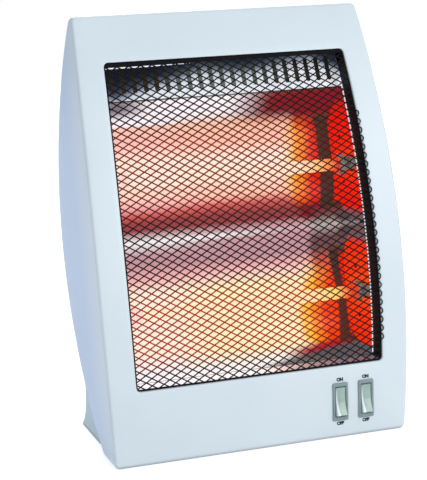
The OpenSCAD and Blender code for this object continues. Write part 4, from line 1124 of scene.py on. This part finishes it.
def makeSwitchFrame(side, x):
    w, h, r, soft = bezel["width"], bezel["height"], bezel["corner"], bezel["soft"]
    wellW, wellH = rocker["width"] + 2 * rocker["gap"], rocker["height"] + 2 * rocker["gap"]
    bodyW, bodyH, bodyR = w - bezel["bodySlim"], h - bezel["bodyShort"], bezel["bodyCorner"]
    front, under, step = yFace - bezel["proud"], yFace - bezel["under"], 2 * bezel["step"]
    profile = [                                         # width, height, corner, place along Y
        (bodyW, bodyH, bodyR, yFace + bezel["bodyDeep"]), (bodyW, bodyH, bodyR, under),
        (w - 0.0001, h - 0.0001, r, under), (w, h, r, front + soft),
        (w - 0.6 * soft, h - 0.6 * soft, r, front + 0.3 * soft),
        (w - 2 * soft, h - 2 * soft, r - soft / 2, front), (wellW + step, wellH + step, 0.0009, front),
        (wellW + step - 0.0003, wellH + step - 0.0003, 0.0008, front + 0.0002),
        (wellW + 0.0003, wellH + 0.0003, 0.0005, front + 0.0006), (wellW, wellH, 0.0004, front + 0.0008),
        (wellW, wellH, 0.0004, yFace + bezel["well"])]
    rings = [roundedRing(x, *row) for row in profile]
    piece = addMesh(side + "SwitchFrame", *loft(rings, caps=True))
    dress(piece, switchPaint, [side + "_switch_body"])


# a slightly hollow facet above and below the pivot, and a round back about it
def makeRocker(side, x):
    half = radians(rocker["swing"] / 2)
    mid, slope, reach = bezel["proud"] + rocker["pivot"], tan(half), rocker["height"] / 2
    tip = (sqrt(reach ** 2 * (1 + slope ** 2) - mid ** 2) - mid * slope) / (1 + slope ** 2)
    heights = [tip * k / 8 for k in range(9)]
    upper = [(-(mid + t * slope) + rocker["hollow"] * sin(pi * t / tip), t) for t in heights]
    start, end = pi - asin(tip / reach), asin(sqrt(reach ** 2 - rocker["back"] ** 2) / reach)
    turns = [mix(start, end, k / 10) for k in range(1, 11)]
    upper += [(reach * cos(a), reach * sin(a)) for a in turns]
    line = [(y, -z) for y, z in reversed(upper)] + upper[1:]
    wide, soft = rocker["width"] / 2, rocker["soft"]
    lean = Matrix.Translation((x, yFace + rocker["pivot"], switchZ)) @ Matrix.Rotation(-half, 4, "X")
    rings = []
    for dx, shrink in ((-wide, soft), (-wide + 0.3 * soft, 0.3 * soft), (-wide + soft, 0),
                       (wide - soft, 0), (wide - 0.3 * soft, 0.3 * soft), (wide, soft)):
        scale = 1 - shrink / reach
        rings.append([lean @ Vector((dx, y + (shrink if y < 0 else -shrink), z * scale)) for y, z in line])
    piece = addMesh(side + "RockerCap", *loft(rings, caps=True))
    dress(piece, rockerPaint, [side + "_rocker"], body=side + "_rocker", crease=30)


switchPaint = makeFinish("switchPlastic", switchPlastic)[0]
rockerPaint = rockerHighlightPaint()
for side, x in zip(("left", "right"), switchHoles["places"]):
    makeSwitchFrame(side, x)
    makeRocker(side, x)

marks = {
    "height": 0.0025, "above": 0.0182, "below": 0.0184, "lift": 0.00006, "thick": 0.00004, "bold": 0.00028,
    "capital": 0.69, "spacing": 0.88,                   # shares of the font's size and of its normal spacing
}
ink = {
    "dark": tone(14, 16, 44), "light": tone(24, 26, 56), "mottle": 300, "grain": 1600,
    "rough": (0.45, 0.6), "bump": 0.05, "gloss": 0.4,
}
inkPaint = makeFinish("darkInk", ink)[0]


def makeMark(word, name, x, z):
    data = bpy.data.curves.new(name, "FONT")
    data.body = word
    data.align_x, data.align_y = "CENTER", "CENTER"
    data.size = marks["height"] / marks["capital"]
    data.offset, data.extrude = marks["bold"], marks["thick"]
    data.space_character = marks["spacing"]
    data.materials.append(inkPaint)
    mark = addObject(name, data)
    s = upFace(z)
    place = atFace(x, s, -marks["lift"])
    mark.matrix_world = Matrix.Translation(place) @ Matrix.Rotation(pi / 2 - s / faceRadius, 4, "X")
    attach(mark, "root")


for side, x in zip(("left", "right"), switchHoles["places"]):
    makeMark("ON", side + "OnMark", x, switchZ + marks["above"])
    makeMark("OFF", side + "OffMark", x, switchZ - marks["below"])
print("switches made")

# finishes for the pieces kept from the frame
rearPlastic = {
    "dark": tone(200, 212, 222), "light": tone(207, 218, 227), "mottle": 11, "grain": 1100,
    "rough": (0.48, 0.6), "bump": 0.14, "gloss": 0.4, "sides": tones((0, 250, 253, 255), (1, 246, 251, 255)),
}
# the rear cover gets the same painted light: a slight bluish side tint, and painted shade along the bottom
# edge
paintOver(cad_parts["rear_cover"], plasticPaint("rearPlastic", rearPlastic))

# dark and light tone, mottle, grain, roughness, bump, metal, and the nodes
plainFinishes = {
    "zincSheet": ((70, 60, 48), (104, 92, 76), 60, 420, (0.35, 0.55), 0.15, 1,
                  ["left_bracket", "right_bracket", "heat_shield"]),
    "pinSteel": ((168, 160, 140), (192, 184, 164), 200, 1200, (0.25, 0.4), 0.08, 1, ["lead_pins"]),
    "platedSteel": ((180, 182, 184), (208, 210, 212), 150, 1000, (0.2, 0.36), 0.08, 1,
                    ["terminal_nuts", "bracket_screws"]),
    "bladeBrass": ((186, 152, 84), (212, 178, 104), 120, 900, (0.22, 0.36), 0.08, 1, ["switch_blades"]),
    "blackPlastic": ((30, 31, 33), (44, 45, 48), 90, 1300, (0.42, 0.58), 0.16, 0,
                     ["tilt_switch_body", "cord_gland"]),
    "plungerPlastic": ((214, 214, 206), (228, 228, 220), 90, 1300, (0.34, 0.48), 0.08, 0, ["tilt_plunger"]),
    "springSteel": ((168, 170, 174), (204, 206, 210), 200, 1400, (0.18, 0.32), 0.05, 1, ["tilt_spring"]),
    "bakelite": ((52, 38, 30), (74, 56, 44), 160, 900, (0.4, 0.55), 0.14, 0, ["thermal_cutout"]),
    "blockPlastic": ((222, 222, 212), (236, 236, 228), 90, 1200, (0.38, 0.5), 0.08, 0, ["terminal_block"]),
    "wireCover": ((92, 62, 44), (112, 78, 56), 200, 1200, (0.4, 0.55), 0.08, 0, ["supply_wires"]),
    "wireCoverRed": ((150, 34, 30), (176, 46, 40), 200, 1200, (0.38, 0.52), 0.08, 0, ["switch_wires"]),
    "glassSleeve": ((206, 204, 192), (234, 232, 222), 700, 1800, (0.7, 0.88), 0.45, 0, ["tube_wires"]),
    "darkScrew": ((54, 54, 58), (86, 86, 90), 260, 1300, (0.28, 0.44), 0.1, 1, ["case_screws"]),
}
for name, (dark, light, mottle, grain, rough, bump, metal, nodes) in plainFinishes.items():
    look = {"dark": tone(*dark), "light": tone(*light), "mottle": mottle, "grain": grain, "rough": rough,
            "bump": bump, "metal": metal}
    paint = makeFinish(name, look)[0]
    for node in nodes:
        paintOver(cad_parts[node], paint)

hotWire = {
    "dark": tone(255, 176, 92), "light": tone(255, 206, 130), "mottle": 300, "grain": 1600,
    "rough": (0.4, 0.6), "bump": 0.1, "shine": tone(255, 196, 110), "glow": 1.6,
}


def paintCoils():
    material, shader = makeFinish("heatingWire", hotWire)[:2]
    addGlow(shader, hotWire["shine"], hotWire["glow"])
    for node in ("upper_coil", "lower_coil"):
        paintOver(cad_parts[node], material)


paintCoils()
print("finishes set")

print("done")
